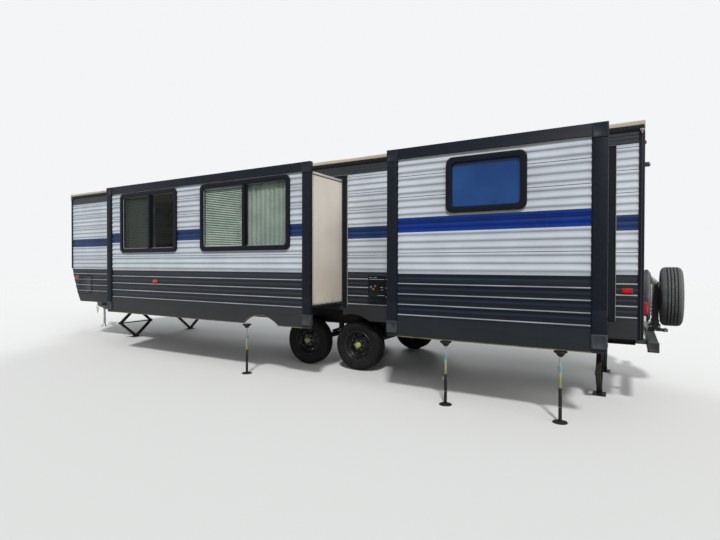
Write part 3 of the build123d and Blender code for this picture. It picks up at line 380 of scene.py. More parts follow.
class Paint:
    # a material with a Principled shader; varying values are fed to its sockets
    def __init__(self, name, colour, roughness, **uniform):
        self.material = bpy.data.materials.new(name)
        self.material.use_nodes = True
        self.tree = self.material.node_tree
        self.tree.nodes.clear()
        self.shader = self.tree.nodes.new("ShaderNodeBsdfPrincipled")
        self.output = self.tree.nodes.new("ShaderNodeOutputMaterial")
        self.tree.links.new(self.shader.outputs[0], self.output.inputs[0])
        self.colour = colour
        self.shader.inputs["Base Color"].default_value = colour
        self.shader.inputs["Roughness"].default_value = roughness
        for socket, value in uniform.items():
            self.shader.inputs[socket.replace("_", " ")].default_value = value
        self.place = self.node("ShaderNodeTexCoord", {}, {}, "Object")
        self.x, self.y, self.z = [self.node("ShaderNodeSeparateXYZ", {}, {0: self.place}, axis) for axis in "XYZ"]

    def node(self, kind, settings, values, output=0):
        made = self.tree.nodes.new(kind)
        for name, value in settings.items():
            if name == "stops":
                while len(made.color_ramp.elements) < len(value):
                    made.color_ramp.elements.new(0.5)
                for element, (position, colour) in zip(made.color_ramp.elements, value):
                    element.position = position
                    element.color = colour
            else:
                setattr(made, name, value)
        for name, value in values.items():
            if isinstance(value, Signal):
                self.tree.links.new(value.socket, made.inputs[name])
            else:
                made.inputs[name].default_value = value
        return Signal(self, made.outputs[output])

    def feed(self, socket, signal):
        self.tree.links.new(signal.socket, self.shader.inputs[socket])
        return self

    def stretch(self, x, y, z):
        return self.node("ShaderNodeMapping", {}, {"Vector": self.place, "Scale": (x, y, z)})

    def noise(self, scale, detail=3.0, roughness=0.5, vector=None):
        values = {"Vector": vector or self.place, "Scale": scale, "Detail": detail, "Roughness": roughness}
        return self.node("ShaderNodeTexNoise", {}, values)

    def mix(self, amount, first, second):
        return self.node("ShaderNodeMix", {"data_type": "RGBA"}, {0: amount, 6: first, 7: second}, 2)

    def bump(self, height, distance, strength=1.0):
        normal = self.node("ShaderNodeBump", {}, {"Height": height, "Distance": distance, "Strength": strength})
        return self.feed("Normal", normal)


def roadGrime(paint, clean, dirt, amount):
    # dust thrown up low down, and faint vertical runs below each rib
    runs = paint.noise(1.0, 3, 0.6, paint.stretch(22, 22, 0.7)).rise(0.55, 0.85)
    low = 1 - paint.z.rise(0.72, 1.05)
    return paint.mix((low * 0.5 + runs * 0.25) * amount, clean, dirt)


sidingLook = {
    # painted skylight and reflection: the light siding is tinted partly blue for skylight, and the dark field is tinted
    # blue for the sky's reflection on charcoal paint
    "light": rgb(196, 204, 214), "lightShade": rgb(184, 191, 201),
    "blue": rgb(10, 50, 134), "blueDeep": rgb(8, 42, 118),
    "dark": rgb(27, 33, 41), "darkShade": rgb(23, 28, 35), "dust": rgb(104, 101, 86),
    "courseDrop": 0.0, "chalk": 0.0, "darkTop": 1.415, "blueLow": 1.888, "blueTop": 2.045, "blueGroove": 1.984,
    "fasciaLow": 2.787, "rib": 0.0785, "seamFrom": 1.415, "ledgesTop": 1.333, "ledgePitch": 0.1175, "skirtTop": 0.938,
    # down each dark course, all painted light and shade: the lit ledge, the shade under it, the flat, the second step
    # lit blue as a painted reflection, and its shade
    "courses": [
        (0.0, rgb(8, 11, 14)), (0.04, rgb(14, 17, 22)), (0.065, rgb(170, 176, 186)), (0.12, rgb(170, 176, 186)),
        (0.16, rgb(34, 39, 47)), (0.20, rgb(12, 16, 23)), (0.42, rgb(14, 19, 27)), (0.55, rgb(34, 46, 66)),
        (0.63, rgb(36, 48, 70)), (0.70, rgb(18, 23, 31)), (0.78, rgb(28, 34, 42)), (0.87, rgb(9, 12, 16)),
        (1.0, rgb(8, 11, 14))],
}


def sidingPaint(name, **coat):
    look = {**sidingLook, **coat}
    courseDrop = look["courseDrop"]
    paint = Paint(name, look["light"], 0.34, Coat_Roughness=0.12, Specular_IOR_Level=0.14)
    cloud = paint.noise(2.2, 4)
    light = paint.mix(cloud.rise(0.3, 0.7), look["light"], look["lightShade"])
    blue = paint.mix(cloud.rise(0.3, 0.7), look["blue"], look["blueDeep"])
    dark = paint.mix(cloud.rise(0.3, 0.7), look["dark"], look["darkShade"])
    inBlue = paint.z.band(look["blueLow"], look["blueTop"], 0.0006)
    inDark = 1 - paint.z.rise(look["darkTop"] - 0.0006, look["darkTop"] + 0.0006)
    inFascia = paint.z.rise(look["fasciaLow"] - 0.0006, look["fasciaLow"] + 0.0006)
    colour = paint.mix(inBlue, light, blue)
    # painted shade in the stripe's groove
    stripeGrooveShade = paint.z.band(look["blueGroove"] - 0.009, look["blueGroove"] + 0.011, 0.007)
    colour = paint.mix(stripeGrooveShade * 0.8, colour, rgb(3, 13, 42))
    drop = (look["ledgesTop"] - courseDrop - paint.z) % look["ledgePitch"] / look["ledgePitch"]
    courses = paint.node("ShaderNodeValToRGB", {"stops": look["courses"]}, {0: drop})
    # noise that dims the painted light of the courses in patches
    patchyLedges = paint.noise(1.0, 4, 0.6, paint.stretch(2.2, 2.2, 30)).rise(0.30, 0.62)
    courses = paint.mix(patchyLedges * 0.35, courses, dark)
    # painted sheen: the dark field and its courses are greyed here
    dark, courses = [paint.mix(look["chalk"], shade, rgb(120, 118, 114)) for shade in (dark, courses)]
    inCourses = paint.z.rise(look["skirtTop"] - courseDrop - 0.003, look["skirtTop"] - courseDrop)
    colour = paint.mix(inDark, colour, paint.mix(inCourses, dark, courses))
    colour = paint.mix(inFascia, colour, dark)
    # painted shade: the tucked-back foot of each light rib, and its head, which turns away from the light, are painted
    # darker
    ribDrop = (look["fasciaLow"] + look["rib"] * 3 - 0.0070 - paint.z) % look["rib"]
    onLight = (1 - inDark) * (1 - inFascia) * (1 - inBlue)
    ribShade = ribDrop.band(0.061, 0.0765, 0.004) * 0.34 + (1 - ribDrop.rise(0.0, 0.030)) * 0.13
    colour = paint.mix(ribShade * onLight, colour, rgb(66, 72, 82))
    # a lock seam after every third rib, counted afresh above the stripe
    fromStripe = (paint.z > look["blueTop"] - 0.01) * (look["blueTop"] - look["seamFrom"])
    seam = (paint.z - look["seamFrom"] - fromStripe + 0.0040) % (look["rib"] * 3)
    fromLow, fromTop = (paint.z - look["blueLow"]).away(), (paint.z - look["blueTop"]).away()
    onSeam = onLight.math("MAXIMUM", (seam < 0.0080) * onLight, fromLow.math("MINIMUM", fromLow, fromTop) < 0.0026)
    colour = paint.mix(onSeam * 0.9, colour, rgb(22, 28, 44))
    paint.feed("Base Color", roadGrime(paint, colour, look["dust"], 0.22 - inDark * 0.10))
    fine = paint.noise(240, 2)
    dents = paint.noise(3.4, 2, 0.4, paint.stretch(1, 1, 5))
    paint.feed("Roughness", 0.30 + fine * 0.1 + cloud * 0.08)
    paint.feed("Coat Weight", 0.20 - inDark * 0.20 - inBlue * 0.18)
    return paint.bump(dents + fine * 0.01 - onSeam * 0.25, 0.004)


def plainPaint(name, first, second, roughness, scale, grain, specular=0.5, coat=0.0, metallic=0.0):
    # two close tones in noise, a matching roughness and a fine grain
    first, second = rgb(*first), rgb(*second)
    paint = Paint(name, first, roughness, Specular_IOR_Level=specular, Coat_Weight=coat, Metallic=metallic)
    cloud = paint.noise(scale * 0.12, 4)
    fine = paint.noise(scale, 4, 0.6)
    paint.feed("Base Color", paint.mix(cloud.rise(0.35, 0.65), first, second))
    paint.feed("Roughness", roughness - 0.06 + fine * 0.12)
    return paint.bump(fine, grain)


def tyrePaint(name, rubber, dusty, middle=None):
    # dust lies on the blocks; on a tyre given a middle, the tread's grooves and sipes are darkened as painted shade
    paint = Paint(name, rubber, 0.8, Specular_IOR_Level=0.2)
    colour = paint.mix(paint.noise(9, 4).rise(0.42, 0.75) * 0.5, rubber, dusty)
    if middle is not None:
        across = paint.x - middle
        # painted shade in the tread's grooves
        grooves = ((across + 0.0232) % 0.034 < 0.0124) * (across.away() < 0.062)
        colour = paint.mix(grooves * 0.85, colour, rgb(14, 15, 15))
        # painted shade in the sipes
        sipeShade = (paint.z + across.away() * 0.5) % 0.025 < 0.010
        colour = paint.mix(sipeShade * (across.away() < 0.085) * 0.8, colour, rgb(24, 25, 26))
    paint.feed("Base Color", colour)
    return paint.bump(paint.noise(320, 3), 0.0006)


def glassPaint():
    paint = Paint("tinted_glass", rgb(12, 19, 20), 0.04, IOR=1.5, Specular_IOR_Level=0.16)
    smear = paint.noise(2.5, 4)
    paint.feed("Roughness", 0.02 + smear * 0.05)
    paint.feed("Alpha", 0.07 + smear * 0.05)
    return paint


def blueGlassPaint():
    # mirror-tinted pane, two blues mixed in noise
    paint = Paint("blue_glass", rgb(24, 62, 122), 0.05, IOR=1.5, Specular_IOR_Level=0.2)
    smear = paint.noise(1.8, 4)
    paint.feed("Base Color", paint.mix(smear.rise(0.3, 0.7), rgb(30, 76, 134), rgb(20, 58, 116)))
    paint.feed("Roughness", 0.04 + smear * 0.08)
    return paint


def metalPaint(name, first, second, roughness):
    paint = Paint(name, rgb(*first), roughness, Metallic=1.0)
    grain = paint.noise(240, 3, 0.6)
    paint.feed("Base Color", paint.mix(paint.noise(8, 4).rise(0.35, 0.65), rgb(*first), rgb(*second)))
    paint.feed("Roughness", roughness - 0.08 + grain * 0.16)
    return paint.bump(grain, 0.0002)


def skinPaint():
    # smooth beige laminate of the slide-outs' ends, soiled at its foot
    paint = Paint("slide_skin", rgb(208, 204, 196), 0.42, Coat_Roughness=0.2)
    cloud = paint.noise(1.6, 5)
    colour = paint.mix(cloud.rise(0.35, 0.7), rgb(232, 224, 213), rgb(221, 212, 200))
    colour = paint.mix((1 - paint.z.rise(1.0, 2.5)) * 0.5, colour, rgb(204, 191, 174))
    stain = paint.noise(5.0, 5, 0.6, paint.stretch(1, 1, 0.7)).rise(0.5, 0.72) * (1 - paint.z.rise(1.05, 1.55))
    colour = paint.mix(stain * 0.45, colour, rgb(146, 134, 118))
    foot = 1 - paint.z.rise(0.985, 1.03)
    colour = paint.mix(foot * paint.noise(34, 4, 0.7).rise(0.38, 0.55) * 0.9, colour, rgb(58, 48, 42))
    paint.feed("Base Color", colour)
    paint.feed("Coat Weight", 0.25 - stain * 0.15)
    return paint.bump(paint.noise(9, 3) + paint.noise(420, 2) * 0.05, 0.0012)


def blindPaint():
    # painted light and shade: each slat is painted lit towards its upper edge, and its foot is painted dark where it
    # lies in the next one's shade
    paint = Paint("blind_slats", rgb(216, 226, 208), 0.5)
    rise = (paint.z - blindRow["from"]) % blindRow["pitch"] / blindRow["pitch"]
    lit = rise.rise(0.22, 0.42) * (1 - rise.rise(0.88, 0.99))
    colour = paint.mix(paint.noise(5, 3).rise(0.3, 0.7), rgb(232, 252, 234), rgb(206, 232, 210))
    colour = paint.mix(lit, rgb(72, 88, 78), colour)
    # painted shade: slats forward of about 5.8 to 6.0 m from the rear wall, the forward window's and the forward kerb
    # windows', are painted dark
    paint.feed("Base Color", paint.mix(paint.x.rise(0.1, 0.3) * 0.93, colour, rgb(26, 34, 28)))
    return paint.bump(paint.noise(200, 2), 0.0001)


def capPaint():
    # the lower covers are lighter, the upper ones darker and bluer
    paint = Paint("corner_cap_plastic", rgb(60, 63, 67), 0.50, Specular_IOR_Level=0.2)
    lowerTone = paint.mix(paint.noise(22, 4).rise(0.3, 0.7), rgb(62, 66, 71), rgb(50, 53, 58))
    paint.feed("Base Color", paint.mix(paint.z.rise(1.2, 2.4), lowerTone, rgb(30, 35, 43)))
    return paint.bump(paint.noise(180, 3), 0.0002)


blindRow = {"from": 1.781, "pitch": 0.0255}
plainFinishes = {
    # material name, two tones, roughness, scale of the noise, grain, specular level, coat, metallic
    "trim": ("anthracite_trim", (22, 27, 36), (18, 22, 30), 0.50, 260, 0.00012, 0.12),
    "lip": ("skirt_lip", (118, 112, 80), (88, 84, 60), 0.45, 90, 0.0003, 0.2),
    "frame": ("black_chassis_paint", (21, 21, 22), (38, 32, 28), 0.58, 45, 0.0004, 0.22),
    "board": ("underbelly_board", (26, 26, 27), (38, 36, 34), 0.78, 30, 0.0008, 0.2),
    "roof": ("roof_membrane", (190, 180, 162), (182, 171, 153), 0.6, 20, 0.0006),
    "windowFrame": ("window_frame_black", (14, 17, 25), (18, 21, 29), 0.44, 220, 0.00012, 0.11),
    "plastic": ("white_plastic", (222, 221, 216), (210, 207, 198), 0.45, 120, 0.0002),
    "rim": ("rim_black", (8, 10, 12), (13, 14, 16), 0.34, 90, 0.00015, 0.18, 0.05),
    # painted highlights on the rims
    "rimHighlight": ("rim_worn_edge", (112, 118, 122), (86, 90, 94), 0.4, 60, 0.0002),
    "spareSteel": ("spare_rim_grey", (120, 122, 124), (96, 94, 90), 0.45, 60, 0.0002),
    "cylinder": ("cylinder_enamel", (216, 216, 210), (200, 198, 188), 0.35, 40, 0.0004),
    "panel": ("utility_panel_black", (12, 14, 17), (18, 20, 23), 0.5, 160, 0.0003, 0.14),
    "boxPlastic": ("black_plastic", (28, 29, 31), (36, 36, 38), 0.55, 160, 0.0003),
    "awning": ("awning_vinyl", (52, 54, 60), (62, 64, 70), 0.6, 120, 0.0003),
    "red": ("red_lens", (198, 6, 26), (168, 4, 18), 0.22, 90, 0.0004, 0.2),
    "amber": ("amber_lens", (214, 72, 14), (190, 54, 8), 0.22, 90, 0.0004, 0.2),
    "edging": ("pale_edging", (206, 204, 198), (190, 187, 178), 0.4, 120, 0.0002),
    "channel": ("dull_channel", (146, 138, 126), (128, 121, 110), 0.5, 120, 0.0002),
    "rubber": ("seal_rubber", (22, 22, 23), (32, 31, 30), 0.7, 140, 0.0003),
    "gasket": ("window_gasket", (150, 156, 160), (126, 132, 136), 0.45, 160, 0.0002),
    "screen": ("insect_screen", (60, 68, 64), (48, 56, 52), 0.6, 200, 0.0002),
    # partly cloth colour and partly painted reflection in the glass
    "curtain": ("window_curtain", (200, 218, 204), (176, 196, 184), 0.8, 24, 0.0004),
    "hubCap": ("hub_cap_enamel", (168, 184, 96), (146, 160, 88), 0.32, 60, 0.0003, 0.5, 0.4),
    # partly yellow zinc colour and partly painted sheen of the links
    "chain": ("yellowed_chain", (196, 182, 146), (150, 134, 98), 0.4, 160, 0.0002),
    "bumper": ("bumper_paint", (58, 64, 66), (70, 74, 74), 0.42, 60, 0.0003),
    "clearLens": ("clear_lens", (206, 208, 206), (186, 188, 186), 0.12, 90, 0.0004, 0.5, 0.8),
    "blueKnob": ("blue_knob", (116, 130, 152), (92, 106, 130), 0.35, 90, 0.0003),
    "pinkKnob": ("pink_knob", (148, 118, 120), (120, 92, 94), 0.4, 90, 0.0003),
    "paleZinc": ("pale_zinc", (150, 158, 108), (130, 138, 98), 0.4, 60, 0.0003, 0.5, 0, 0.5),
    "acPlastic": ("shroud_plastic", (212, 210, 202), (196, 193, 184), 0.5, 60, 0.0004),
    "lidPlastic": ("smoked_lid", (196, 196, 190), (182, 180, 172), 0.35, 90, 0.0003),
    "sealant": ("lap_sealant", (206, 200, 186), (184, 177, 162), 0.7, 40, 0.0015),
    "doorSkin": ("door_skin", (206, 207, 206), (196, 196, 193), 0.36, 90, 0.0002),
    "castIron": ("cast_iron", (66, 58, 52), (92, 64, 44), 0.7, 60, 0.0008),
    "paleBlue": ("pale_blue_nut", (108, 150, 158), (86, 126, 136), 0.4, 60, 0.0003),
}
metalFinishes = {
    # material name, two tones, roughness
    "steel": ("zinc_steel", (176, 178, 180), (150, 148, 144), 0.38),
    "aluminium": ("mill_aluminium", (196, 196, 194), (172, 172, 168), 0.35),
    "chrome": ("chrome_nut", (128, 130, 132), (104, 104, 104), 0.30),
    "brass": ("yellow_zinc", (176, 150, 84), (138, 112, 60), 0.4),
}
paints = {
    # the body's and front slide's copy: its greyer blue and the grey in its dark field are painted sheen; the rear
    # slide's copy has none
    "siding": sidingPaint("ribbed_siding", chalk=0.08, blue=rgb(34, 60, 106), blueDeep=rgb(27, 50, 94)),
    "rearSiding": sidingPaint("ribbed_siding_rear_slide", courseDrop=0.015),
    "cap": capPaint(),
    "glass": glassPaint(),
    "tyre": tyrePaint("tyre_rubber", rgb(20, 22, 22), rgb(44, 44, 40)),
    "spareTyre": tyrePaint("spare_tyre_rubber", rgb(98, 100, 102), rgb(124, 122, 122), rearWall - 0.320),
    "skin": skinPaint(),
    "blind": blindPaint(),
    "blueGlass": blueGlassPaint(),
    **{finish: plainPaint(*row) for finish, row in plainFinishes.items()},
    **{finish: metalPaint(*row) for finish, row in metalFinishes.items()},
}
print("finishes made")

cadPaints = {
    "frame_black": "frame", "siding_grey": "siding", "siding_dark": "siding", "trim_black": "trim",
    "slide_wall": "skin", "floor_board": "board", "roof_sheet": "roof", "window_frame": "windowFrame",
    "window_glass": "glass", "white_plastic": "plastic", "steel": "steel", "tyre": "tyre", "rim_black": "rim",
    "spare_steel": "spareSteel", "cylinder_paint": "cylinder", "box_plastic": "boxPlastic",
    "awning_fabric": "awning", "red_lens": "red", "amber_lens": "amber",
}
for node in cadNodes.values():
    for materialSlot in node.material_slots:
        materialSlot.material = paints[cadPaints[materialSlot.material.name.split(".")[0]]].material
letGo()


# Siding

for node, body in (
    ("road_wall", chassis), ("curb_wall", chassis), ("front_wall", chassis),
    ("rear_wall", chassis), ("rear_slide_face", "rear_slide"), ("front_slide_face", "front_slide"),
):
    paint = "rearSiding" if body == "rear_slide" else "siding"
    mount(node + "_siding", [cadCopy(node)], paint, body, [node])
print("siding smoothed")


# Slide-outs

slideShape = {
    "faceOut": 2.033, "faceIn": 1.995, "out": 2.045, "low": 0.740, "top": 2.832, "headerTall": 0.120,
    "sideWide": 0.125, "capWide": 0.130, "capTall": 0.138, "capProud": 0.006, "lapTop": 1.098, "jWide": 0.011,
    "boxInset": 0.040, "boxLow": 0.975, "boxTop": 2.720, "boxIn": 1.156, "openingTop": 2.745, "openingInset": 0.020,
    "wallOut": 1.220, "flangeOut": 1.232, "flangeWide": 0.065, "sill": 0.930, "skirtLow": 0.700,
    "channelWide": {"rear_slide": 0.006, "front_slide": 0.010},
}
slideEnds = {"rear_slide": (0.300, 2.550), "front_slide": (3.635, 7.950)}
# middle, height and radius of the arch in the skirt
slideArches = {"rear_slide": None, "front_slide": (4.480, 0.360, 0.464)}


def cornerCap(x0, z0, outward):
    # a square cover over each corner of the trim, its field pressed in, with a lip round the end of the room
    s = slideShape
    x1, z1 = x0 + s["capWide"], z0 + s["capTall"]
    plate = board((x0 - 0.001, s["faceOut"], z0), (x1, s["out"] + s["capProud"], z1), 0.004, 3)
    recess(plate, roadward, (0.009, 0), (0.0025, -0.0025))
    low, high = (x0 - 0.003, x0 + 0.002) if outward < 0 else (x1 - 0.002, x1 + 0.003)
    return joined([plate, board((low, s["faceIn"] - 0.004, z0), (high, s["out"] + 0.004, z1), 0.002)])


def slideTrim(slide):
    s = slideShape
    x0, x1 = slideEnds[slide]
    top, out, back = s["top"], s["out"], s["faceOut"] - 0.004
    sill = top - s["headerTall"]
    trims = [prism("x", x0 + 0.003, x1 - x0 - 0.006, (
        (s["faceIn"], top - 0.004), (s["faceIn"], top), (out, top), (out, sill + 0.012), (out + 0.004, sill + 0.004),
        (out + 0.004, sill), (back, sill), (back, top - 0.004)), 0.0016)]
    caps, channels = [], []
    for end, inward in ((x0, 1), (x1, -1)):
        for high, proud in ((top - 0.01, 0), (s["lapTop"], 0.0014)):
            corner, inside = end - inward * proud * 0.6, end + inward * 0.005
            inner = end + inward * (s["sideWide"] + proud * 0.5)
            trims.append(prism("z", s["low"], high - s["low"], (
                (corner, s["faceIn"]), (corner, out + proud), (inner, out + proud), (inner, back), (inside, back),
                (inside, s["faceIn"])), 0.0022))
        for z in (s["low"], top - s["capTall"]):
            caps.append(cornerCap(min(end, end + inward * s["capWide"]), z, -inward))
        edge = end + inward * s["sideWide"]
        channels.append(board((edge, s["faceOut"] - 0.012, s["low"] + s["capTall"]),
                              (edge + inward * s["jWide"], s["faceOut"] + 0.003, sill), 0.002))
    mount(slide + "_trims", trims, "trim", body=slide, stands=[slide + "_trim"], smooth=35)
    mount(slide + "_corner_caps", caps, "cap", body=slide)
    mount(slide + "_side_channels", channels, "trim", body=slide)
    light = board((x0 + s["sideWide"], s["faceOut"] - 0.012, sill - 0.008),
                  (x1 - s["sideWide"], s["faceOut"] + 0.002, sill + 0.002), 0.002)
    mount(slide + "_siding_edging", [light], "edging", slide)


def skirtLip(slide):
    # a thin rolled edge along the skirt's foot, that rises round the wheel arch
    s = slideShape
    x0, x1 = slideEnds[slide]
    line = [(x0 + s["sideWide"], s["skirtLow"]), (x1 - s["sideWide"], s["skirtLow"])]
    if slideArches[slide]:
        middle, centre, radius = slideArches[slide]
        foot = asin((s["skirtLow"] - centre) / radius)
        turns = [pi - foot - k * (pi - 2 * foot) / 32 for k in range(33)]
        line[1:1] = [(middle + radius * cos(turn), centre + radius * sin(turn)) for turn in turns]
    lip = ribbon([at(x, s["faceOut"] - 0.002, z) for x, z in line], Vector((0, 0, 0.010)), 0.006, 35)
    mount(slide + "_skirt_lip", [lip], "lip", body=slide)


def slideEnd(end, inward):
    # on the room's end wall: a light angle along its head, corner angle, foot strip and a dark strip under the head,
    # painted shade in the gap there
    s = slideShape
    near, far, top = s["boxIn"], s["faceIn"], s["boxTop"]
    face = end + inward * s["boxInset"]
    out, lip, back = face - inward * 0.003, face - inward * 0.005, face + inward * 0.03
    head = prism("y", near, far - near, (
        (face, top - 0.026), (out, top - 0.026), (lip, top - 0.021), (lip, top + 0.003), (back, top + 0.003),
        (back, top), (face, top)), 0.0008)
    corner = board((face, far - 0.020, s["boxLow"]), (out, far, top - 0.026), 0.001)
    foot = board((face, near, s["boxLow"] - 0.002), (out, far, s["boxLow"] + 0.018), 0.001)
    # painted shade: a dark strip where the gap under the head lies in shade
    shadowGap = board((face, near, top - 0.036), (out, far - 0.02, top - 0.027), 0.001)
    return [head, corner], [foot, shadowGap]


def openingSeals(slide):
    # bulb seals in the gap round the opening, on the body, clear of the room that slides past them
    s = slideShape
    x0, x1 = slideEnds[slide]
    out, top = s["flangeOut"] + 0.001, s["openingTop"]
    bulbs = []
    for end, inward in ((x0, 1), (x1, -1)):
        edge = end + inward * s["openingInset"]
        bulb = edge + inward * 0.0065
        bulbs.append(rod((bulb, out, s["boxLow"]), (bulb, out, top - 0.008), 0.0065, 12))
        bulbs.append(board((edge - inward * 0.002, out - 0.009, s["boxLow"]),
                           (edge + inward * 0.012, out - 0.004, top), 0.0015))
    bulbs.append(rod((x0 + s["openingInset"], out, top - 0.0065), (x1 - s["openingInset"], out, top - 0.0065),
                     0.0065, 12))
    mount(slide + "_opening_seals", bulbs, "rubber")


def openingEdging(slide):
    # the light channel that the siding's ends run into, outside the dark flange, and the flange's own rolled edges
    s = slideShape
    x0, x1 = slideEnds[slide]
    out, head, wide = s["flangeOut"], s["openingTop"] + 0.040, s["channelWide"][slide]
    wallIn, wallOut = s["wallOut"] - 0.012, s["wallOut"] + 0.004
    strips, rolls = [], []
    for end, inward in ((x0, 1), (x1, -1)):
        edge = end + inward * (s["openingInset"] - s["flangeWide"])
        strips.append(board((edge - inward * wide, wallIn, s["sill"]), (edge, wallOut, head), 0.0015))
        for place in (edge + inward * 0.004, edge + inward * (s["flangeWide"] - 0.006)):
            rolls.append(rod((place, out, s["sill"]), (place, out, head - 0.002), 0.004, 10))
    rolls.append(rod((x0 - 0.041, out, head - 0.004), (x1 + 0.041, out, head - 0.004), 0.004, 10))
    strips.append(board((x0 - 0.045, wallIn, head), (x1 + 0.045, wallOut, head + wide * 0.6), 0.0015))
    mount(slide + "_opening_edging", strips, "channel")
    mount(slide + "_opening_rolls", rolls, "trim")


for slide, (slideRear, slideFront) in slideEnds.items():
    slideTrim(slide)
    skirtLip(slide)
    lights, darks = zip(slideEnd(slideRear, 1), slideEnd(slideFront, -1))
    mount(slide + "_end_angles", sum(lights, []), "edging", slide)
    mount(slide + "_end_strips", sum(darks, []), "rubber", body=slide)
    openingSeals(slide)
    openingEdging(slide)
print("slide-outs trimmed")


# Windows

windowShape = {"radius": 0.075, "inner": 0.050, "frame": 0.062, "proud": 0.0245, "gasketWide": 0.009, "barWide": 0.050,
               "slat": 0.0255, "slatTilt": 0.0205, "screenPitch": 0.018}
# two ends, foot, head and the place of the bar, if the window slides
slideWindows = {
    "rear_slide": [(1.008, 1.842, 2.075, 2.665, None)],
    "front_slide": [(3.963, 5.635, 1.715, 2.695, 4.770), (6.157, 7.564, 1.715, 2.695, 6.810)],
}
kerbWindows = [
    (0.700, 1.750, 1.800, 2.600, 1.225), (2.500, 3.250, 2.080, 2.600, None), (4.150, 5.200, 1.800, 2.600, 4.675),
    (7.300, 8.100, 2.000, 2.600, None), (9.480, 10.050, 2.000, 2.600, None),
]


def windowParts(window, y, side):
    # black ring over the frame, light gasket, sash bar with a latch painted light as a painted highlight; y is the
    # wall's outer face, side its direction
    s = windowShape
    x0, x1, z0, z1, bar = window
    inset = s["frame"] - 0.001
    black = [windowRing(x0 - 0.001, x1 + 0.001, z0 - 0.001, z1 + 0.001, s["radius"], s["frame"] + 0.001,
                        y + side * 0.001, side * (s["proud"] - 0.001), 0.009, s["inner"])]
    light = [windowRing(x0 + inset, x1 - inset, z0 + inset, z1 - inset, s["inner"], s["gasketWide"],
                        y - side * 0.008, side * 0.010, 0.0025)]
    if bar:
        half, middle = s["barWide"] / 2, (z0 + z1) / 2
        sash, back = bar - half - 0.020, y - side * 0.012
        black += [board((bar - half, back, z0 + 0.05), (bar + half, y + side * 0.012, z1 - 0.05), 0.005, 3),
                  board((sash, back, z0 + 0.06), (sash + 0.022, y + side * 0.004, z1 - 0.06), 0.003)]
        # painted highlight: the latch is given the light gasket colour
        light.append(board((bar - 0.012, y + side * 0.002, middle - 0.045),
                           (bar + 0.012, y + side * 0.018, middle + 0.045), 0.004, 3))
    return black, light


def windowSet(name, windows, y, side, body):
    black, light = zip(*[windowParts(window, y, side) for window in windows])
    mount(name + "_rings", sum(black, []), "windowFrame", body=body)
    mount(name + "_gaskets", sum(light, []), "gasket", body=body)


def windowBlind(x0, x1, z0, z1, y):
    # one slat, tilted nearly shut, repeated up the pane under a head rail
    pitch, tilt = windowShape["slat"], windowShape["slatTilt"]
    slat = prism("x", x0 + 0.006, x1 - x0 - 0.012, [(y + dy, z0 + 0.004 + dz) for dy, dz in (
        (0.006, 0), (0.0046, tilt * 0.5), (-0.004, tilt), (-0.0045, tilt - 0.001), (0.004, tilt * 0.5),
        (0.0052, -0.0006))])
    arrayed(slat, int((z1 - z0 - 0.034) / pitch), (0, 0, pitch))
    rail = board((x0 + 0.004, y - 0.008, z1 - 0.030), (x1 - 0.004, y + 0.008, z1 - 0.002), 0.003)
    cords = [rod((x, y + 0.008, z0 + 0.02), (x, y + 0.008, z1 - 0.02), 0.0012, 6)
             for x in (x0 + 0.10, (x0 + x1) / 2, x1 - 0.10)]
    return joined([slat, rail] + cords)


def insectScreen(x0, x1, z0, z1, y):
    # a grid of thin bars behind the sliding pane
    pitch = windowShape["screenPitch"]
    upright = rod((x0 + pitch / 2, y, z0), (x0 + pitch / 2, y, z1), 0.0009, 4)
    arrayed(upright, int((x1 - x0) / pitch), (pitch, 0, 0))
    level = rod((x0, y + 0.0012, z0 + pitch / 2), (x1, y + 0.0012, z0 + pitch / 2), 0.0009, 4)
    arrayed(level, int((z1 - z0) / pitch), (0, 0, pitch))
    return joined([upright, level])


def curtain(x0, x1, z0, z1, y):
    # a cloth drawn across in soft pleats; its pale greenish colour is partly the cloth and partly painted reflection in
    # the glass
    line = [at(x0 + (x1 - x0) * k / 64, y + 0.007 * sin(k * 0.95) + 0.003 * sin(k * 0.37), z0) for k in range(65)]
    return ribbon(line, Vector((0, 0, z1 - z0)), 0.0015, 60)


def inFrame(x0, x1, z0, z1, y):
    # the pane's own limits inside the window's frame
    rim = windowShape["frame"]
    return x0, x1, z0 + rim, z1 - rim, y


for slide, windows in slideWindows.items():
    windowSet(slide + "_window", windows, slideShape["faceOut"], 1, slide)
windowSet("kerb_window", kerbWindows, -1.220, -1, chassis)
rim, frontWindows = windowShape["frame"], slideWindows["front_slide"]
mount("front_slide_blinds", [windowBlind(*inFrame(bar + 0.025, x1 - rim, z0, z1, 2.003))
                             for x0, x1, z0, z1, bar in frontWindows], "blind", body="front_slide")
mount("kerb_blinds", [windowBlind(*inFrame(x0 + rim, x1 - rim, z0, z1, -1.192))
                      for x0, x1, z0, z1, bar in kerbWindows if not bar], "blind")
mount("front_slide_screens", [insectScreen(*inFrame(x0 + rim, bar - 0.025, z0, z1, 2.012))
                              for x0, x1, z0, z1, bar in frontWindows], "screen", body="front_slide")
x0, x1, z0, z1, bar = frontWindows[0]
# its brightness is partly painted reflection in the glass
mount("curtain", [curtain(x0 + 0.03, bar, z0 + 0.03, z1 - 0.03, 1.978)], "curtain", body="front_slide")
mount("rear_slide_blue_glass", [cadCopy("rear_slide_window_glass")], "blueGlass", "rear_slide",
      ["rear_slide_window_glass"])
print("windows fitted")


# Wheels

wheelShape = {
    "radius": 0.360, "half": 0.112, "rim": 0.200, "steps": 144, "groovePitch": 0.034, "grooveWide": 0.0095,
    "grooveDeep": 0.009, "zigzag": 0.0042, "sipeInset": 0.0066, "sipeDeep": 0.003, "crown": 0.003,
    "handHoles": 8, "nuts": 6, "nutCircle": 0.0695,
}


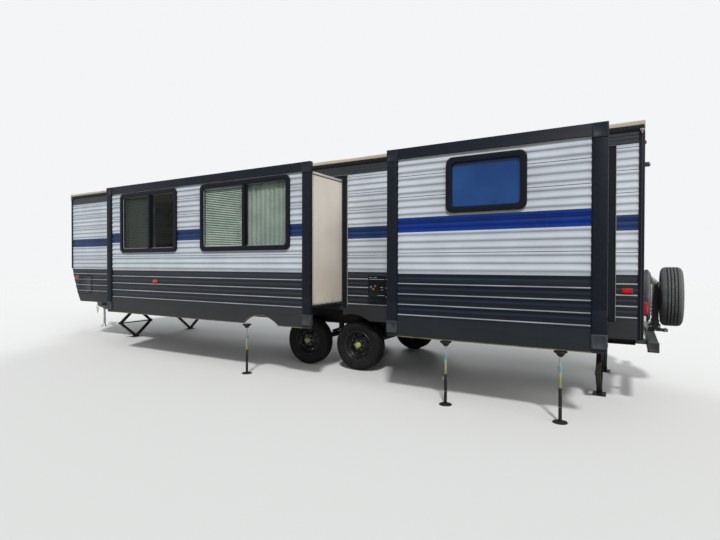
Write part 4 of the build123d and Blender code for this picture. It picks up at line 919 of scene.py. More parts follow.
def tyreSection(radius, half, rim, grooves):
    # (radius, along) from one bead over the tread to the other
    w = wheelShape
    side = [(rim + up, half - inward) for up, inward in (
        (0.001, 0.034), (0.007, 0.0325), (0.011, 0.028), (0.016, 0.024), (0.034, 0.0135), (0.037, 0.0105),
        (0.043, 0.0105), (0.047, 0.0085), (0.072, 0.0015), (0.088, 0))]
    side += [(radius - down, half - inward) for down, inward in (
        (0.050, 0.0025), (0.047, 0.0005), (0.042, 0.0010), (0.040, 0.0045), (0.026, 0.009), (0.014, 0.018),
        (0.005, 0.032))]
    tread = []
    for groove in reversed(grooves):
        rise = radius - w["crown"] * (groove / half) ** 2
        low, edge = rise - w["grooveDeep"], w["grooveWide"] / 2
        tread += [(rise, groove + edge), (low, groove + edge - 0.0012), (low, groove - edge + 0.0012),
                  (rise, groove - edge)]
    return side + tread + [(up, -along) for up, along in reversed(side)]


def tyreAbout(centre, axis, radius, half, rim, grooveCount=4):
    w = wheelShape
    along = Vector(axis)
    across = Vector(upward).cross(along)
    pitch = w["groovePitch"] * half / w["half"]
    grooves = [(k - (grooveCount - 1) / 2) * pitch for k in range(grooveCount)]
    tyre = turned(tyreSection(radius, half, rim, grooves), centre, w["steps"], axis)

    def where(point):
        # height over the axle, reach along it and the step round it
        out = point - centre
        reach = out.dot(along)
        return (out - along * reach).length, reach, atan2(out.z, out.dot(across)) / (2 * pi / w["steps"])

    def inGroove(reach, gap):
        return any(abs(reach - groove) < gap for groove in grooves)

    def onZigzag(point):
        tall, reach, step = where(point.co)
        return tall > radius - 0.02 and inGroove(reach, w["grooveWide"]) and round(step) % 2 == 0

    def onBlock(face):
        tall, reach, step = where(face.center)
        return (tall > radius - 0.012 and abs(face.normal.dot(along)) < 0.8
                and not inGroove(reach, w["grooveWide"] / 2) and int(step + 720) % 2 == 0)

    editOnly(tyre, "VERT", onZigzag)
    bpy.ops.transform.translate(value=along * w["zigzag"])
    editOnly(tyre, "FACE", onBlock)
    bpy.ops.mesh.inset(thickness=w["sipeInset"], depth=-w["sipeDeep"], use_individual=True)
    return done(tyre, 35)


def copiesRound(piece, axis, radius, count):
    # copies of a piece modelled at the top of a circle, moved round it, the first half a step on
    up = Vector(upward)
    across = up.cross(Vector(axis))
    turns = [(2 * k + 1) * pi / count for k in range(count)]
    twins = [copied(piece, across * sin(turn) * radius + up * (cos(turn) - 1) * radius) for turn in turns]
    bpy.data.objects.remove(piece)
    return joined(twins)


def rimAbout(centre, axis, hub=True):
    # barrel with rolled lips and a pressed disc with eight hand holes, and the hub through it
    w = wheelShape
    rim, lip, along = w["rim"], w["half"] - 0.032, Vector(axis)
    section = [(rim + up, reach) for up, reach in (
        (-0.009, -lip - 0.004), (-0.004, -lip - 0.007), (0.006, -lip - 0.007), (0.009, -lip - 0.003), (0.009, -lip),
        (0.001, -lip + 0.002), (0, -0.02), (0, 0.02), (0.001, lip - 0.002), (0.009, lip), (0.010, lip + 0.004),
        (0.006, lip + 0.007), (-0.001, lip + 0.007), (-0.006, lip + 0.003), (-0.007, lip - 0.010),
        (-0.014, lip - 0.014), (-0.016, 0.050), (-0.026, 0.036), (-0.045, 0.027), (-0.068, 0.026), (-0.090, 0.036),
        (-0.104, 0.044), (-0.146, 0.044))]
    section += [(0.048, 0.050), (0.047, 0.061), (0.044, 0.063), (0.027, 0.063)] if hub else [(0.027, 0.044)]
    section += [(0.027, 0.036)] + [(rim + up, reach) for up, reach in (
        (-0.104, 0.036), (-0.090, 0.028), (-0.068, 0.018), (-0.045, 0.019), (-0.022, 0.022), (-0.016, 0.0),
        (-0.014, -lip + 0.014), (-0.008, -lip + 0.006), (-0.009, -lip - 0.004))]
    wheel = turned(section, centre, 96, axis)
    top = centre + Vector((0, 0, rim - 0.056))
    hole = rod(top - along * 0.02, top + along * 0.08, 0.0165, 20)
    cut(wheel, copiesRound(hole, axis, rim - 0.056, w["handHoles"]))
    return done(wheel, 35)


def greaseCap(centre, axis):
    section = [(0, 0.1055), (0.012, 0.1052), (0.026, 0.1030), (0.036, 0.0985), (0.0415, 0.0920), (0.0435, 0.0840),
               (0.0440, 0.0700), (0.0455, 0.0680), (0.0455, 0.0630), (0, 0.0625)]
    return turned(section, centre, 40, axis)


def brakeDrum(centre, axis):
    section = [(0.030, -0.072), (0.122, -0.072), (0.128, -0.066), (0.128, -0.028), (0.120, -0.022), (0.070, -0.016),
               (0.060, 0.004), (0.060, 0.036), (0.030, 0.036), (0.030, -0.072)]
    return turned(section, centre, 48, axis)


def nutsAbout(centre, axis):
    # nut, collar, stud and seat on each of the wheel's studs
    w, along = wheelShape, Vector(axis)
    top = centre + Vector((0, 0, w["nutCircle"]))
    nut = joined([rod(top + along * low, top + along * high, *size) for low, high, *size in (
        (0.043, 0.058, 0.0115, 6, 0.0012), (0.058, 0.062, 0.0095, 12, 0.0012), (0.062, 0.068, 0.0055, 10, 0.001),
        (0.0425, 0.045, 0.0135, 16))])
    return copiesRound(nut, axis, w["nutCircle"], w["nuts"])


def rimHighlightRings(centre, axis):
    # painted highlights: thin bright rings on the flange and round the disc
    return joined([turned([(radius - 0.0011, along), (radius, along + 0.0011), (radius + 0.0011, along),
                           (radius - 0.0011, along)], centre, 96, axis)
                   for radius, along in ((0.2055, 0.0868), (0.1845, 0.0560))])


def valveAbout(centre, axis):
    along = Vector(axis)
    foot = centre + Vector((0, 0, -0.172)) + along * 0.030
    return joined([
        rod(foot, foot + along * 0.030 + Vector((0, 0, 0.008)), 0.0045, 10, 0.0008),
        rod(foot + along * 0.028 + Vector((0, 0, 0.0075)), foot + along * 0.040 + Vector((0, 0, 0.011)),
            0.0055, 10, 0.0012)])


frontRoad, toRear = at(4.390, 0.9875, 0.360), (-0.890, 0, 0)
fullTyre = [wheelShape[size] for size in ("radius", "half", "rim")]
# each part is made at the front road-side wheel: its paint, its slot, the CAD node that it stands for
wheelKit = {
    "tread": (tyreAbout(frontRoad, roadward, *fullTyre), "tyre", None, "_tyre"),
    "rim": (rimAbout(frontRoad, roadward), "rim", None, "_wheel"),
    "cap": (greaseCap(frontRoad, roadward), "hubCap", None, None),
    "drum": (brakeDrum(frontRoad, roadward), "castIron", None, None),
    "nuts": (nutsAbout(frontRoad, roadward), "chrome", None, None),
    # rings of painted highlight
    "edges": (rimHighlightRings(frontRoad, roadward), "rimHighlight", None, None),
    "valve": (valveAbout(frontRoad, roadward), "rubber", "tyre", None),
}
for part, (piece, paint, slot, node) in wheelKit.items():
    twins = {"front_road": piece, "rear_road": copied(piece, toRear), "front_curb": mirroredWidth(piece)}
    twins["rear_curb"] = copied(twins["front_curb"], toRear)
    for wheel, twin in twins.items():
        mount(wheel + "_" + part, [twin], paint, wheel + "_wheel", [wheel + node] if node else ())
print("wheels made")


# Rear end

rearShape = {
    "spareX": -0.320, "innerX": -0.060, "spareZ": 1.137, "postX": (-0.195, -0.118), "postTop": 1.290,
    "bumperX": (-0.150, -0.048), "bumperZ": (0.605, 0.707), "bumperEnd": 1.100,
}
spareCentre = at(rearShape["spareX"], 0, rearShape["spareZ"])
innerCentre = at(rearShape["innerX"], 0, rearShape["spareZ"])
# the full wheel behind, and a thinner one between it and the wall, with its own disc
mount("spare_tyre_treads", [tyreAbout(spareCentre, backward, *fullTyre),
                            tyreAbout(innerCentre, backward, 0.330, 0.043, 0.210, 2)],
      "spareTyre", stands=["spare_tyres"])
innerDisc = turned([
    (0, 0.008), (0.060, 0.008), (0.070, 0.004), (0.120, 0.004), (0.135, 0.012), (0.195, 0.012), (0.212, 0.020),
    (0.214, 0.016), (0.212, -0.020), (0.195, -0.012), (0, -0.006)], innerCentre, 72, backward)
mount("spare_wheel_rims", [rimAbout(spareCentre, backward, hub=False), innerDisc], "spareSteel",
      stands=["spare_rims"], smooth=35)
mount("spare_nuts", [nutsAbout(spareCentre, backward)], "chrome")


def boltAt(place, direction, size=0.010):
    # washer, hexagon head
    place, out = placed(place), Vector(direction)
    face = place + out * size * 0.25
    return joined([rod(place, face, size * 1.15, 16), rod(face, place + out * size * 0.95, size * 0.8, 6, size * 0.08)])


def chainAt(top, low, pitch=0.022, bar=0.0028, wide=0.0075):
    # round-bar links, every other one a quarter turn on
    top, low = placed(top), placed(low)
    down = (low - top).normalized()
    count = int((low - top).length / pitch)
    links = []
    for turn in (0, 1):
        letGo()
        bpy.ops.mesh.primitive_torus_add(
            location=top + down * (pitch / 2 + turn * pitch), major_radius=wide, minor_radius=bar, major_segments=14,
            minor_segments=6, rotation=(pi / 2, 0, turn * pi / 2 + 0.4))
        bpy.context.object.scale.y = 1.75
        links.append(arrayed(done(added(), 60), (count + 1 - turn) // 2, down * pitch * 2))
    return joined(links)


def rearGear():
    # spare wheel post with its strap, chain and brace, and the bumper with its end caps
    r = rearShape
    x0, x1 = r["postX"]
    post = [board((x0, -0.038, 0.735), (x1, 0.038, r["postTop"]), 0.008, 3),
            board((x0 - 0.020, -0.052, 0.735), (x1 + 0.028, 0.052, 0.792), 0.004),
            board((x0 - 0.005, -0.046, 0.790), (x1 + 0.008, 0.046, 0.845), 0.004),
            board((-0.290, -0.060, 0.707), (-0.040, 0.060, 0.735), 0.003),
            rod((-0.374, 0, r["spareZ"]), (x1, 0, r["spareZ"]), 0.024, 24, 0.003),
            rod((-0.356, 0, r["spareZ"]), (-0.346, 0, r["spareZ"]), 0.080, 32, 0.002),
            rod((-0.376, 0, r["spareZ"]), (-0.364, 0, r["spareZ"]), 0.045, 6, 0.002),
            board((-0.285, -0.034, 0.700), (-0.235, 0.034, 0.709), 0.003)]
    mount("spare_post", post, "boxPlastic", stands=["spare_carrier"])
    strap = prism("y", -0.030, 0.060, (
        (x0 - 0.004, r["postTop"] - 0.004), (x0 - 0.004, r["postTop"] + 0.014), (-0.104, 1.406), (-0.100, 1.398),
        (x1 + 0.010, r["postTop"] + 0.030), (x1 + 0.010, r["postTop"] - 0.004)), 0.002)
    holes = []
    for share in (0.18, 0.42, 0.66, 0.88):
        place = at(x0 + 0.012 + share * 0.070, -0.05, r["postTop"] + 0.012 + share * 0.086)
        holes.append(rod(place, place + Vector((0, 0.1, 0)), 0.0075, 14))
    cut(strap, joined(holes))
    eye = turned([(0.010, -0.005), (0.018, -0.005), (0.020, 0), (0.018, 0.005), (0.010, 0.005), (0.010, -0.005)],
                 (x0 - 0.002, 0.036, r["postTop"] + 0.006), 24, (0, 1, 0))
    lock = board((x0 - 0.012, 0.028, r["postTop"] - 0.040), (x0 + 0.010, 0.044, r["postTop"] - 0.008), 0.004, 3)
    mount("spare_strap", [strap, eye, lock], "steel", smooth=40)
    bolts = [boltAt((x, 0.052, z), roadward) for x, z in ((-0.200, 0.765), (-0.110, 0.765), (-0.110, 0.820))]
    bolts += [boltAt((x, y, 0.735), upward) for x in (-0.272, -0.058) for y in (-0.042, 0.042)]
    bolts += [boltAt((x, 0.060, 0.721), roadward, 0.008) for x in (-0.265, -0.160, -0.070)]
    mount("carrier_bolts", bolts, "steel")
    # the chain's pale yellow is partly the zinc and partly painted sheen
    mount("carrier_chain", [chainAt((x1 - 0.008, 0.050, 1.275), (x1 - 0.003, 0.050, 0.862), 0.022, 0.0034, 0.0088)],
          "chain")
    brace = rod((x1 + 0.046, 0.024, 1.200), (x1 + 0.040, 0.024, 0.760), 0.005, 12)
    mount("carrier_brace", [brace, boltAt((x1 + 0.040, 0.024, 0.760), upward, 0.009)], "steel")
    bx0, bx1 = r["bumperX"]
    bz0, bz1 = r["bumperZ"]
    bumper = [board((bx0, -r["bumperEnd"], bz0), (bx1, r["bumperEnd"], bz1), 0.009, 3)]
    for side in (1, -1):
        bumper.append(board((bx1, side * 0.770, 0.645), (0.060, side * 0.830, 0.705), 0.004))
    mount("bumper_tube", bumper, "bumper", stands=["rear_bumper"])
    for side, name in ((1, "road"), (-1, "curb")):
        end = side * r["bumperEnd"]
        cap = board((bx0 - 0.003, end - side * 0.002, bz0 - 0.003), (bx1 + 0.003, end + side * 0.007, bz1 + 0.003),
                    0.0045, 3)
        recess(cap, (0, side, 0), (0.012, 0), (0.003, -0.002))
        knob = rod((-0.099, end + side * 0.004, 0.656), (-0.099, end + side * 0.011, 0.656), 0.010, 20, 0.002)
        mount("bumper_cap_" + name, [cap, knob], "boxPlastic")


rearGear()


def sideLamp(x0, seat, side):
    # a marker lens with sloped shoulders on a thin base
    lens = board((x0, seat, 1.220), (x0 + 0.106, seat + side * 0.020, 1.276))
    editOnly(lens, "FACE", lambda face: face.normal.y * side > 0.99)
    bpy.ops.transform.resize(value=(0.80, 1, 0.60), center_override=at(x0 + 0.053, seat, 1.248))
    letGo()
    bevelled(lens, 0.004, 3, 20)
    return done(lens, 40), board((x0 - 0.004, seat, 1.216), (x0 + 0.110, seat + side * 0.005, 1.280), 0.0022)


def tailLamps():
    # lens with a rim, a reversing light under it, a small lamp at each upper corner and the marker lamps
    reds, bases, clears = [], [], []
    for side in (1, -1):
        lens = board((-0.041, side * 1.012, 1.002), (-0.010, side * 1.148, 1.128), 0.010, 4)
        recess(lens, backward, (0.012, 0), (0.004, 0.003))
        marker, markerBase = sideLamp(0.093, side * 1.2175, side)
        reds += [lens, board((-0.022, side * 1.092, 2.792), (-0.002, side * 1.148, 2.823), 0.007, 4), marker]
        bases += [board((-0.014, side * 1.006, 0.996), (-0.0005, side * 1.154, 1.134), 0.005, 3),
                  board((-0.006, side * 1.084, 2.785), (-0.0005, side * 1.156, 2.830), 0.003), markerBase]
        clears.append(board((-0.030, side * 1.020, 0.925), (-0.001, side * 1.140, 0.985), 0.008, 3))
    mount("red_lenses", reds, "red", stands=["red_lamps"])
    mount("lamp_bases", bases, "boxPlastic")
    mount("reversing_lenses", clears, "clearLens")
    ambers, amberBases = zip(*[sideLamp(10.290, side * 1.2175, side) for side in (1, -1)])
    mount("amber_lenses", ambers, "amber", stands=["amber_lamps"])
    mount("amber_bases", amberBases, "boxPlastic")
    lens, base = sideLamp(6.625, 2.0305, 1)
    mount("slide_amber_lens", [lens], "amber", body="front_slide", stands=["front_slide_lamp"])
    mount("slide_amber_base", [base], "boxPlastic", body="front_slide")


tailLamps()
print("rear end made")


# Utility panel on the road side

utilityShape = {
    "ends": (2.976, 3.242), "low": 0.991, "top": 1.367, "out": 1.236, "tray": 0.004,
    "taps": {"blueKnob": (3.192, 1.212), "pinkKnob": (3.128, 1.226), "brass": (3.156, 1.184)},
}


def utilityPanel():
    # taps behind a shallow tray, a lid under them, and light strips across the panel at the siding's ledge heights,
    # painted highlights that carry the ledge lines on
    u = utilityShape
    x0, x1 = u["ends"]
    z0, z1, out, face = u["low"], u["top"], u["out"], u["out"] - u["tray"]
    plate = board((x0, 1.216, z0), (x1, out, z1), 0.006, 3)
    recess(plate, roadward, (0.012, 0), (0.003, -u["tray"]))
    lid = board((3.004, face - 0.002, 1.004), (3.212, face + 0.005, 1.088), 0.003, 3)
    recess(lid, roadward, (0.010, 0), (0.002, -0.002))
    screws = [rod((x, out - 0.001, z), (x, out + 0.0025, z), 0.004, 10, 0.001)
              for x in (x0 + 0.008, x1 - 0.008) for z in (z0 + 0.008, (z0 + z1) / 2, z1 - 0.008)]
    mount("utility_panel_plate", [plate, lid] + screws, "panel", stands=["docking_panel"])
    for paint, (x, z) in u["taps"].items():
        collar = rod((x, face - 0.002, z), (x, face + 0.006, z), 0.016, 24, 0.002)
        stem = rod((x, face + 0.004, z), (x, face + 0.020, z), 0.011, 20, 0.002)
        grip = board((x - 0.004, face + 0.012, z - 0.016), (x + 0.004, face + 0.027, z + 0.016), 0.002)
        mount("panel_knob_" + paint, [collar, stem, grip], paint)
    # painted highlights: light strips where the siding's ledge lines run on across the panel
    strips = [board((low, face - 0.001, z), (high, face + 0.004, z + tall), 0.001) for low, high, z, tall in (
        (x0 + 0.014, x1 - 0.014, 1.3145, 0.009), (2.990, 3.100, 1.0965, 0.008), (3.008, 3.052, 1.206, 0.009),
        (3.008, 3.048, 1.172, 0.006), (3.178, 3.226, 1.340, 0.008), (3.106, 3.158, 1.340, 0.008))]
    mount("panel_painted_highlights", strips, "gasket")


utilityPanel()


# Stands under the slide-outs

# three stands in a row: the first is modelled, the others copy it
standPlaces = {"x": (4.743, 0.696, 1.850), "y": 2.010}


def slideStands():
    # foot, three telescoping tubes and a pale collar
    x, y, others = standPlaces["x"][0], standPlaces["y"], standPlaces["x"][1:]
    foot = turned([(0, 0.010), (0.018, 0.016), (0.024, 0.010), (0.052, 0.007), (0.066, 0.009), (0.070, 0.004),
                   (0.069, 0), (0, 0)], (x, y, 0), 32)
    plateRim = turned([(0.062, 0.689), (0.064, 0.684), (0.062, 0.679), (0.058, 0.684), (0.062, 0.689)], (x, y, 0), 32)
    kit = {
        "stand_tubes": ("frame", None, ["slide_support_stands"], [
            rod((x, y, 0.006), (x, y, 0.329), 0.0165, 20, 0.001), rod((x, y, 0.676), (x, y, 0.690), 0.062, 32, 0.003),
            rod((x, y, 0.636), (x, y, 0.680), 0.020, 32, 0.002, 0.054),
            rod((x, y, 0.318), (x, y, 0.332), 0.019, 20, 0.001), foot, plateRim]),
        "stand_middles": ("paleZinc", None, (), [rod((x, y, 0.320), (x, y, 0.498), 0.0135, 20, 0.001)]),
        "stand_screws": ("steel", None, (), [
            rod((x, y, 0.480), (x, y, 0.678), 0.0088, 16),
            rod((x - 0.026, y, 0.284), (x + 0.030, y, 0.284), 0.0045, 12, 0.001),
            rod((x, y - 0.022, 0.152), (x, y + 0.024, 0.152), 0.0045, 12, 0.001),
            board((x + 0.018, y - 0.006, 0.270), (x + 0.030, y + 0.006, 0.300), 0.003)]),
        "stand_collars": ("paleBlue", "white_plastic", (), [
            rod((x, y, 0.494), (x, y, 0.546), 0.0185, 20, 0.004),
            rod((x - 0.030, y, 0.520), (x, y, 0.520), 0.0065, 12, 0.002),
            board((x - 0.036, y - 0.004, 0.505), (x - 0.028, y + 0.004, 0.535), 0.002)]),
    }
    for name, (paint, slot, stands, pieces) in kit.items():
        row = spread(joined(pieces), [(place - x, 0, 0) for place in others])
        mount(name, [row], paint, stands=stands)


slideStands()
print("stands made")


# Roof edge and rear corners

roofShape = {"long": 10.550, "folds": 420, "foldSize": 0.11, "foldDepth": 0.011}


def roofEdge():
    # the membrane rolls over the edge and hangs in soft folds above a dark rail
    r = roofShape
    roll = prism("x", -0.004, r["long"] + 0.008, (
        (1.190, 3.0145), (1.2255, 3.0155), (1.2325, 3.0085), (1.2335, 2.975), (1.2300, 2.9685), (1.2270, 2.9685),
        (1.2275, 3.000), (1.190, 3.009)))
    edit(roll, action="DESELECT")
    bpy.ops.object.mode_set(mode="OBJECT")
    for line in roll.data.edges:
        first, second = [roll.data.vertices[k].co for k in line.vertices]
        line.select = abs(first.x - second.x) > 1
    bpy.ops.object.mode_set(mode="EDIT")
    bpy.ops.mesh.select_mode(type="EDGE")
    bpy.ops.mesh.subdivide(number_cuts=r["folds"])
    letGo()
    folds = bpy.data.textures.new("membrane_folds", "CLOUDS")
    folds.noise_scale = r["foldSize"]
    folds.noise_depth = 2
    modify(roll, "DISPLACE", texture=folds, texture_coords="GLOBAL", strength=r["foldDepth"], mid_level=0.5)
    rail = prism("x", 0, r["long"], (
        (1.219, 2.952), (1.2335, 2.952), (1.2345, 2.956), (1.2345, 2.968), (1.2310, 2.972), (1.219, 2.972)), 0.0008)
    gutter = prism("x", 0, r["long"], (
        (1.219, 2.918), (1.222, 2.916), (1.2310, 2.919), (1.2330, 2.926), (1.2330, 2.946), (1.2305, 2.946),
        (1.2300, 2.926), (1.2220, 2.922), (1.219, 2.950)))
    for piece, name, paint in ((done(roll, 60), "membrane_edges", "roof"), (rail, "awning_rails", "trim"),
                               (gutter, "rain_gutters", "trim")):
        mount(name, [piece, mirroredWidth(piece)], paint)
    spouts = []
    for x in (0.020, 10.525):
        for side in (1, -1):
            spouts.append(board((x - 0.020, side * 1.226, 2.905), (x + 0.020, side * 1.250, 2.930), 0.006, 3))
            spouts.append(rod((x, side * 1.240, 2.880), (x, side * 1.240, 2.912), 0.009, 14, 0.002))
    mount("gutter_spouts", spouts, "channel")


def rearCorners():
    # rounded angle over each corner with an insert strip along it, and a camera bracket
    angles, inserts = [], []
    for x, out, tall in ((0, -1, 0.742), (roofShape["long"], 1, 1.436)):
        angle = prism("z", tall, 2.916 - tall, [(x + out * reach, y) for reach, y in (
            (-0.046, 1.219), (-0.046, 1.2255), (-0.004, 1.2275), (0.003, 1.2265), (0.0055, 1.220), (0.0045, 1.172),
            (0, 1.172), (0, 1.219))], 0.0016)
        insert = rod((x - out * 0.020, 1.2272, tall + 0.01), (x - out * 0.020, 1.2272, 2.905), 0.0035, 8)
        angles += [angle, mirroredWidth(angle)]
        inserts += [insert, mirroredWidth(insert)]
        if out < 0:
            inserts += [rod((x - 0.005, y, tall + 0.01), (x - 0.005, y, 2.905), 0.003, 8) for y in (1.190, -1.190)]
    mount("corner_angles", angles, "trim", stands=["corner_trims"])
    mount("corner_inserts", inserts, "boxPlastic")
    camera = [board((-0.050, 1.060, 2.560), (0, 1.130, 2.600), 0.006, 3),
              rod((-0.058, 1.095, 2.570), (-0.040, 1.095, 2.574), 0.014, 20, 0.003),
              board((-0.008, 1.040, 2.530), (0, 1.150, 2.630), 0.004)]
    mount("camera_bracket", camera, "boxPlastic")


roofEdge()
rearCorners()
print("roof edge made")


# Roof fittings

coolerShape = {"taper": 0.12, "fins": 22, "finPitch": 0.018, "frontFins": 7}


def airConditioner():
    # a shroud that narrows upwards, with fins let into its sides and its front
    c = coolerShape
    shroud = prism("y", -0.338, 0.676, (
        (4.902, 3.060), (4.930, 3.180), (4.985, 3.268), (5.060, 3.292), (5.540, 3.297), (5.640, 3.262), (5.698, 3.180),
        (5.718, 3.060)))
    for point in shroud.data.vertices:
        if point.co.z > 3.1:
            share = (point.co.z - 3.1) / 0.2
            point.co.y = centreLine + (point.co.y - centreLine) * (1 - c["taper"] * share)
    bevelled(shroud, 0.020, 3, 24)
    base = board((4.895, -0.342, 3.052), (5.722, 0.342, 3.072), 0.006)
    mount("air_conditioner_shroud", [shroud, base], "acPlastic", stands=["air_conditioner"], smooth=45)
    fins = []
    for side in (1, -1):
        fin = board((5.080, side * 0.304, 3.120), (5.090, side * 0.332, 3.215), 0.002)
        arrayed(fin, c["fins"], (c["finPitch"], 0, 0))
        fins.append(fin)
    for y in (-0.2, 0.02):
        fin = board((4.926, y, 3.106), (4.950, y + 0.18, 3.112), 0.002)
        arrayed(fin, c["frontFins"], (0.006, 0, 0.014))
        fins.append(fin)
    mount("air_conditioner_louvres", fins, "boxPlastic")


ventShape = {"roof": 3.055, "hatches": (1.500, 8.900), "cooler": 5.310, "pipes": ((2.900, 0.380), (7.600, -0.420))}


def roofVents():
    # two lidded hatches, two capped pipes, and the sealant round each hatch and the cooler
    top, frames, lids = ventShape["roof"], [], []
    for x in ventShape["hatches"]:
        frames += [board((x - half, -half, top + low), (x + half, half, top + high), edge)
                   for half, low, high, edge in ((0.210, -0.002, 0.012, 0.005), (0.190, 0.008, 0.045, 0.006))]
        lid = board((x - 0.205, -0.205, top + 0.045), (x + 0.205, 0.205, top + 0.095), 0.024, 4)
        recess(lid, upward, (0.020, 0), (0.008, -0.006), (0.120, 0), (0.006, 0.005))
        lids.append(lid)
        frames.append(rod((x - 0.10, -0.212, top + 0.050), (x + 0.10, -0.212, top + 0.050), 0.007, 12, 0.001))
    for x, y in ventShape["pipes"]:
        frames.append(turned([
            (0, 0.109), (0.030, 0.107), (0.048, 0.098), (0.052, 0.088), (0.046, 0.086), (0.034, 0.082),
            (0.032, 0.030), (0.036, 0.014), (0.070, 0.004), (0.072, -0.002), (0, -0.002)], (x, y, top), 32))
    mount("roof_vent_frames", frames, "plastic", stands=["roof_vents"])
    mount("roof_vent_lids", lids, "lidPlastic")
    sealant = []
    for x in (*ventShape["hatches"], ventShape["cooler"]):
        half, long = (0.350, 0.425) if x == ventShape["cooler"] else (0.222, 0.222)
        for y in (-half, half):
            sealant.append(board((x - long - 0.012, y - 0.012, top - 0.001), (x + long + 0.012, y + 0.012, top + 0.005),
                                 0.004))
        for end in (-long, long):
            sealant.append(board((x + end - 0.012, -half, top - 0.001), (x + end + 0.012, half, top + 0.005), 0.004))
    mount("roof_sealant", sealant, "sealant")


airConditioner()
roofVents()
print("roof fitted")


# Tongue

cylinderPlaces = {"x": 10.915, "y": (-0.165, 0.165), "z": 0.638}


def gasCylinders():
    # two bottles with foot rings and cut collars, on a tray with a clamp rod between them
    steelBits, enamel, valves = [], [], []
    for y in cylinderPlaces["y"]:
        centre = at(cylinderPlaces["x"], y, cylinderPlaces["z"])
        enamel.append(turned([
            (0, 0.035), (0.080, 0.028), (0.120, 0.045), (0.143, 0.075), (0.151, 0.110), (0.152, 0.140), (0.152, 0.180),
            (0.1528, 0.184), (0.1528, 0.196), (0.152, 0.200), (0.152, 0.270), (0.148, 0.310), (0.134, 0.345),
            (0.108, 0.372), (0.075, 0.386), (0.040, 0.392), (0, 0.393)], centre, 48))
        foot = turned([(0.100, 0), (0.106, 0), (0.106, 0.040), (0.100, 0.040), (0.100, 0)], centre, 48)
        collar = turned([(0.096, 0.376), (0.100, 0.376), (0.098, 0.470), (0.092, 0.478), (0.088, 0.474),
                         (0.094, 0.468), (0.096, 0.376)], centre, 48)
        cut(collar, joined([board((10.780, y - 0.055, 1.045), (11.050, y + 0.055, 1.085), 0.012, 3),
                            board((10.775, y - 0.050, 1.05), (10.860, y + 0.050, 1.16), 0.012, 3)]))
        enamel += [foot, collar]
        valves += [rod((10.915, y, 1.025), (10.915, y, 1.080), 0.016, 16, 0.002),
                   rod((10.870, y, 1.060), (10.915, y, 1.060), 0.013, 6, 0.002)]
        steelBits.append(turned([(0, 0.004), (0.012, 0.006), (0.024, 0.002), (0.030, 0.004), (0.032, 0.010),
                                 (0.028, 0.014), (0, 0.014)], (10.915, y, 1.080), 24))
    tray = [board((10.440, -0.300, 0.630), (11.090, 0.300, 0.638), 0.003),
            *[board((x, -0.300, 0.630), (x + 0.006, 0.300, 0.652), 0.002) for x in (10.440, 11.084)],
            rod((10.915, 0, 0.636), (10.915, 0, 1.075), 0.008, 12),
            board((10.890, -0.080, 1.040), (10.940, 0.080, 1.048), 0.003),
            rod((10.915, 0, 1.048), (10.915, 0, 1.062), 0.020, 6, 0.002)]
    mount("cylinder_tray", tray, "frame", stands=["gas_cylinders"])
    mount("cylinder_bodies", enamel, "cylinder")
    mount("cylinder_valves", valves, "brass")
    regulator = turned([(0, 0), (0.028, 0.002), (0.044, 0.012), (0.046, 0.026), (0.030, 0.036), (0.012, 0.040),
                        (0, 0.041)], (10.830, 0, 1.060), 28, backward)
    mount("cylinder_fittings", steelBits + [regulator], "steel")


def batteryBox():
    # a ribbed tub with a pressed lid, held by a strap with a buckle
    tub = board((10.478, -0.170, 0.638), (10.692, 0.170, 0.815), 0.014, 3)
    lid = board((10.470, -0.180, 0.800), (10.700, 0.180, 0.860), 0.016, 3)
    recess(lid, upward, (0.022, 0), (0.006, -0.005))
    ribs = [board((x, y, 0.660), (x + 0.005, y + 0.012, 0.795), 0.002)
            for x in (10.4735, 10.6915) for y in (-0.13, -0.07, -0.01, 0.05, 0.11)]
    mount("battery_box_tub", [tub, lid] + ribs, "boxPlastic", stands=["battery_box"])
    strap = [board((10.560, -0.183, 0.860), (10.600, 0.183, 0.8625), 0.001),
             *[board((10.560, y, 0.640), (10.600, y + 0.0025, 0.862), 0.001) for y in (-0.1835, 0.1810)],
             board((10.552, 0.020, 0.861), (10.608, 0.070, 0.868), 0.002)]
    mount("battery_strap", strap, "rubber")


jackPlace = 11.370


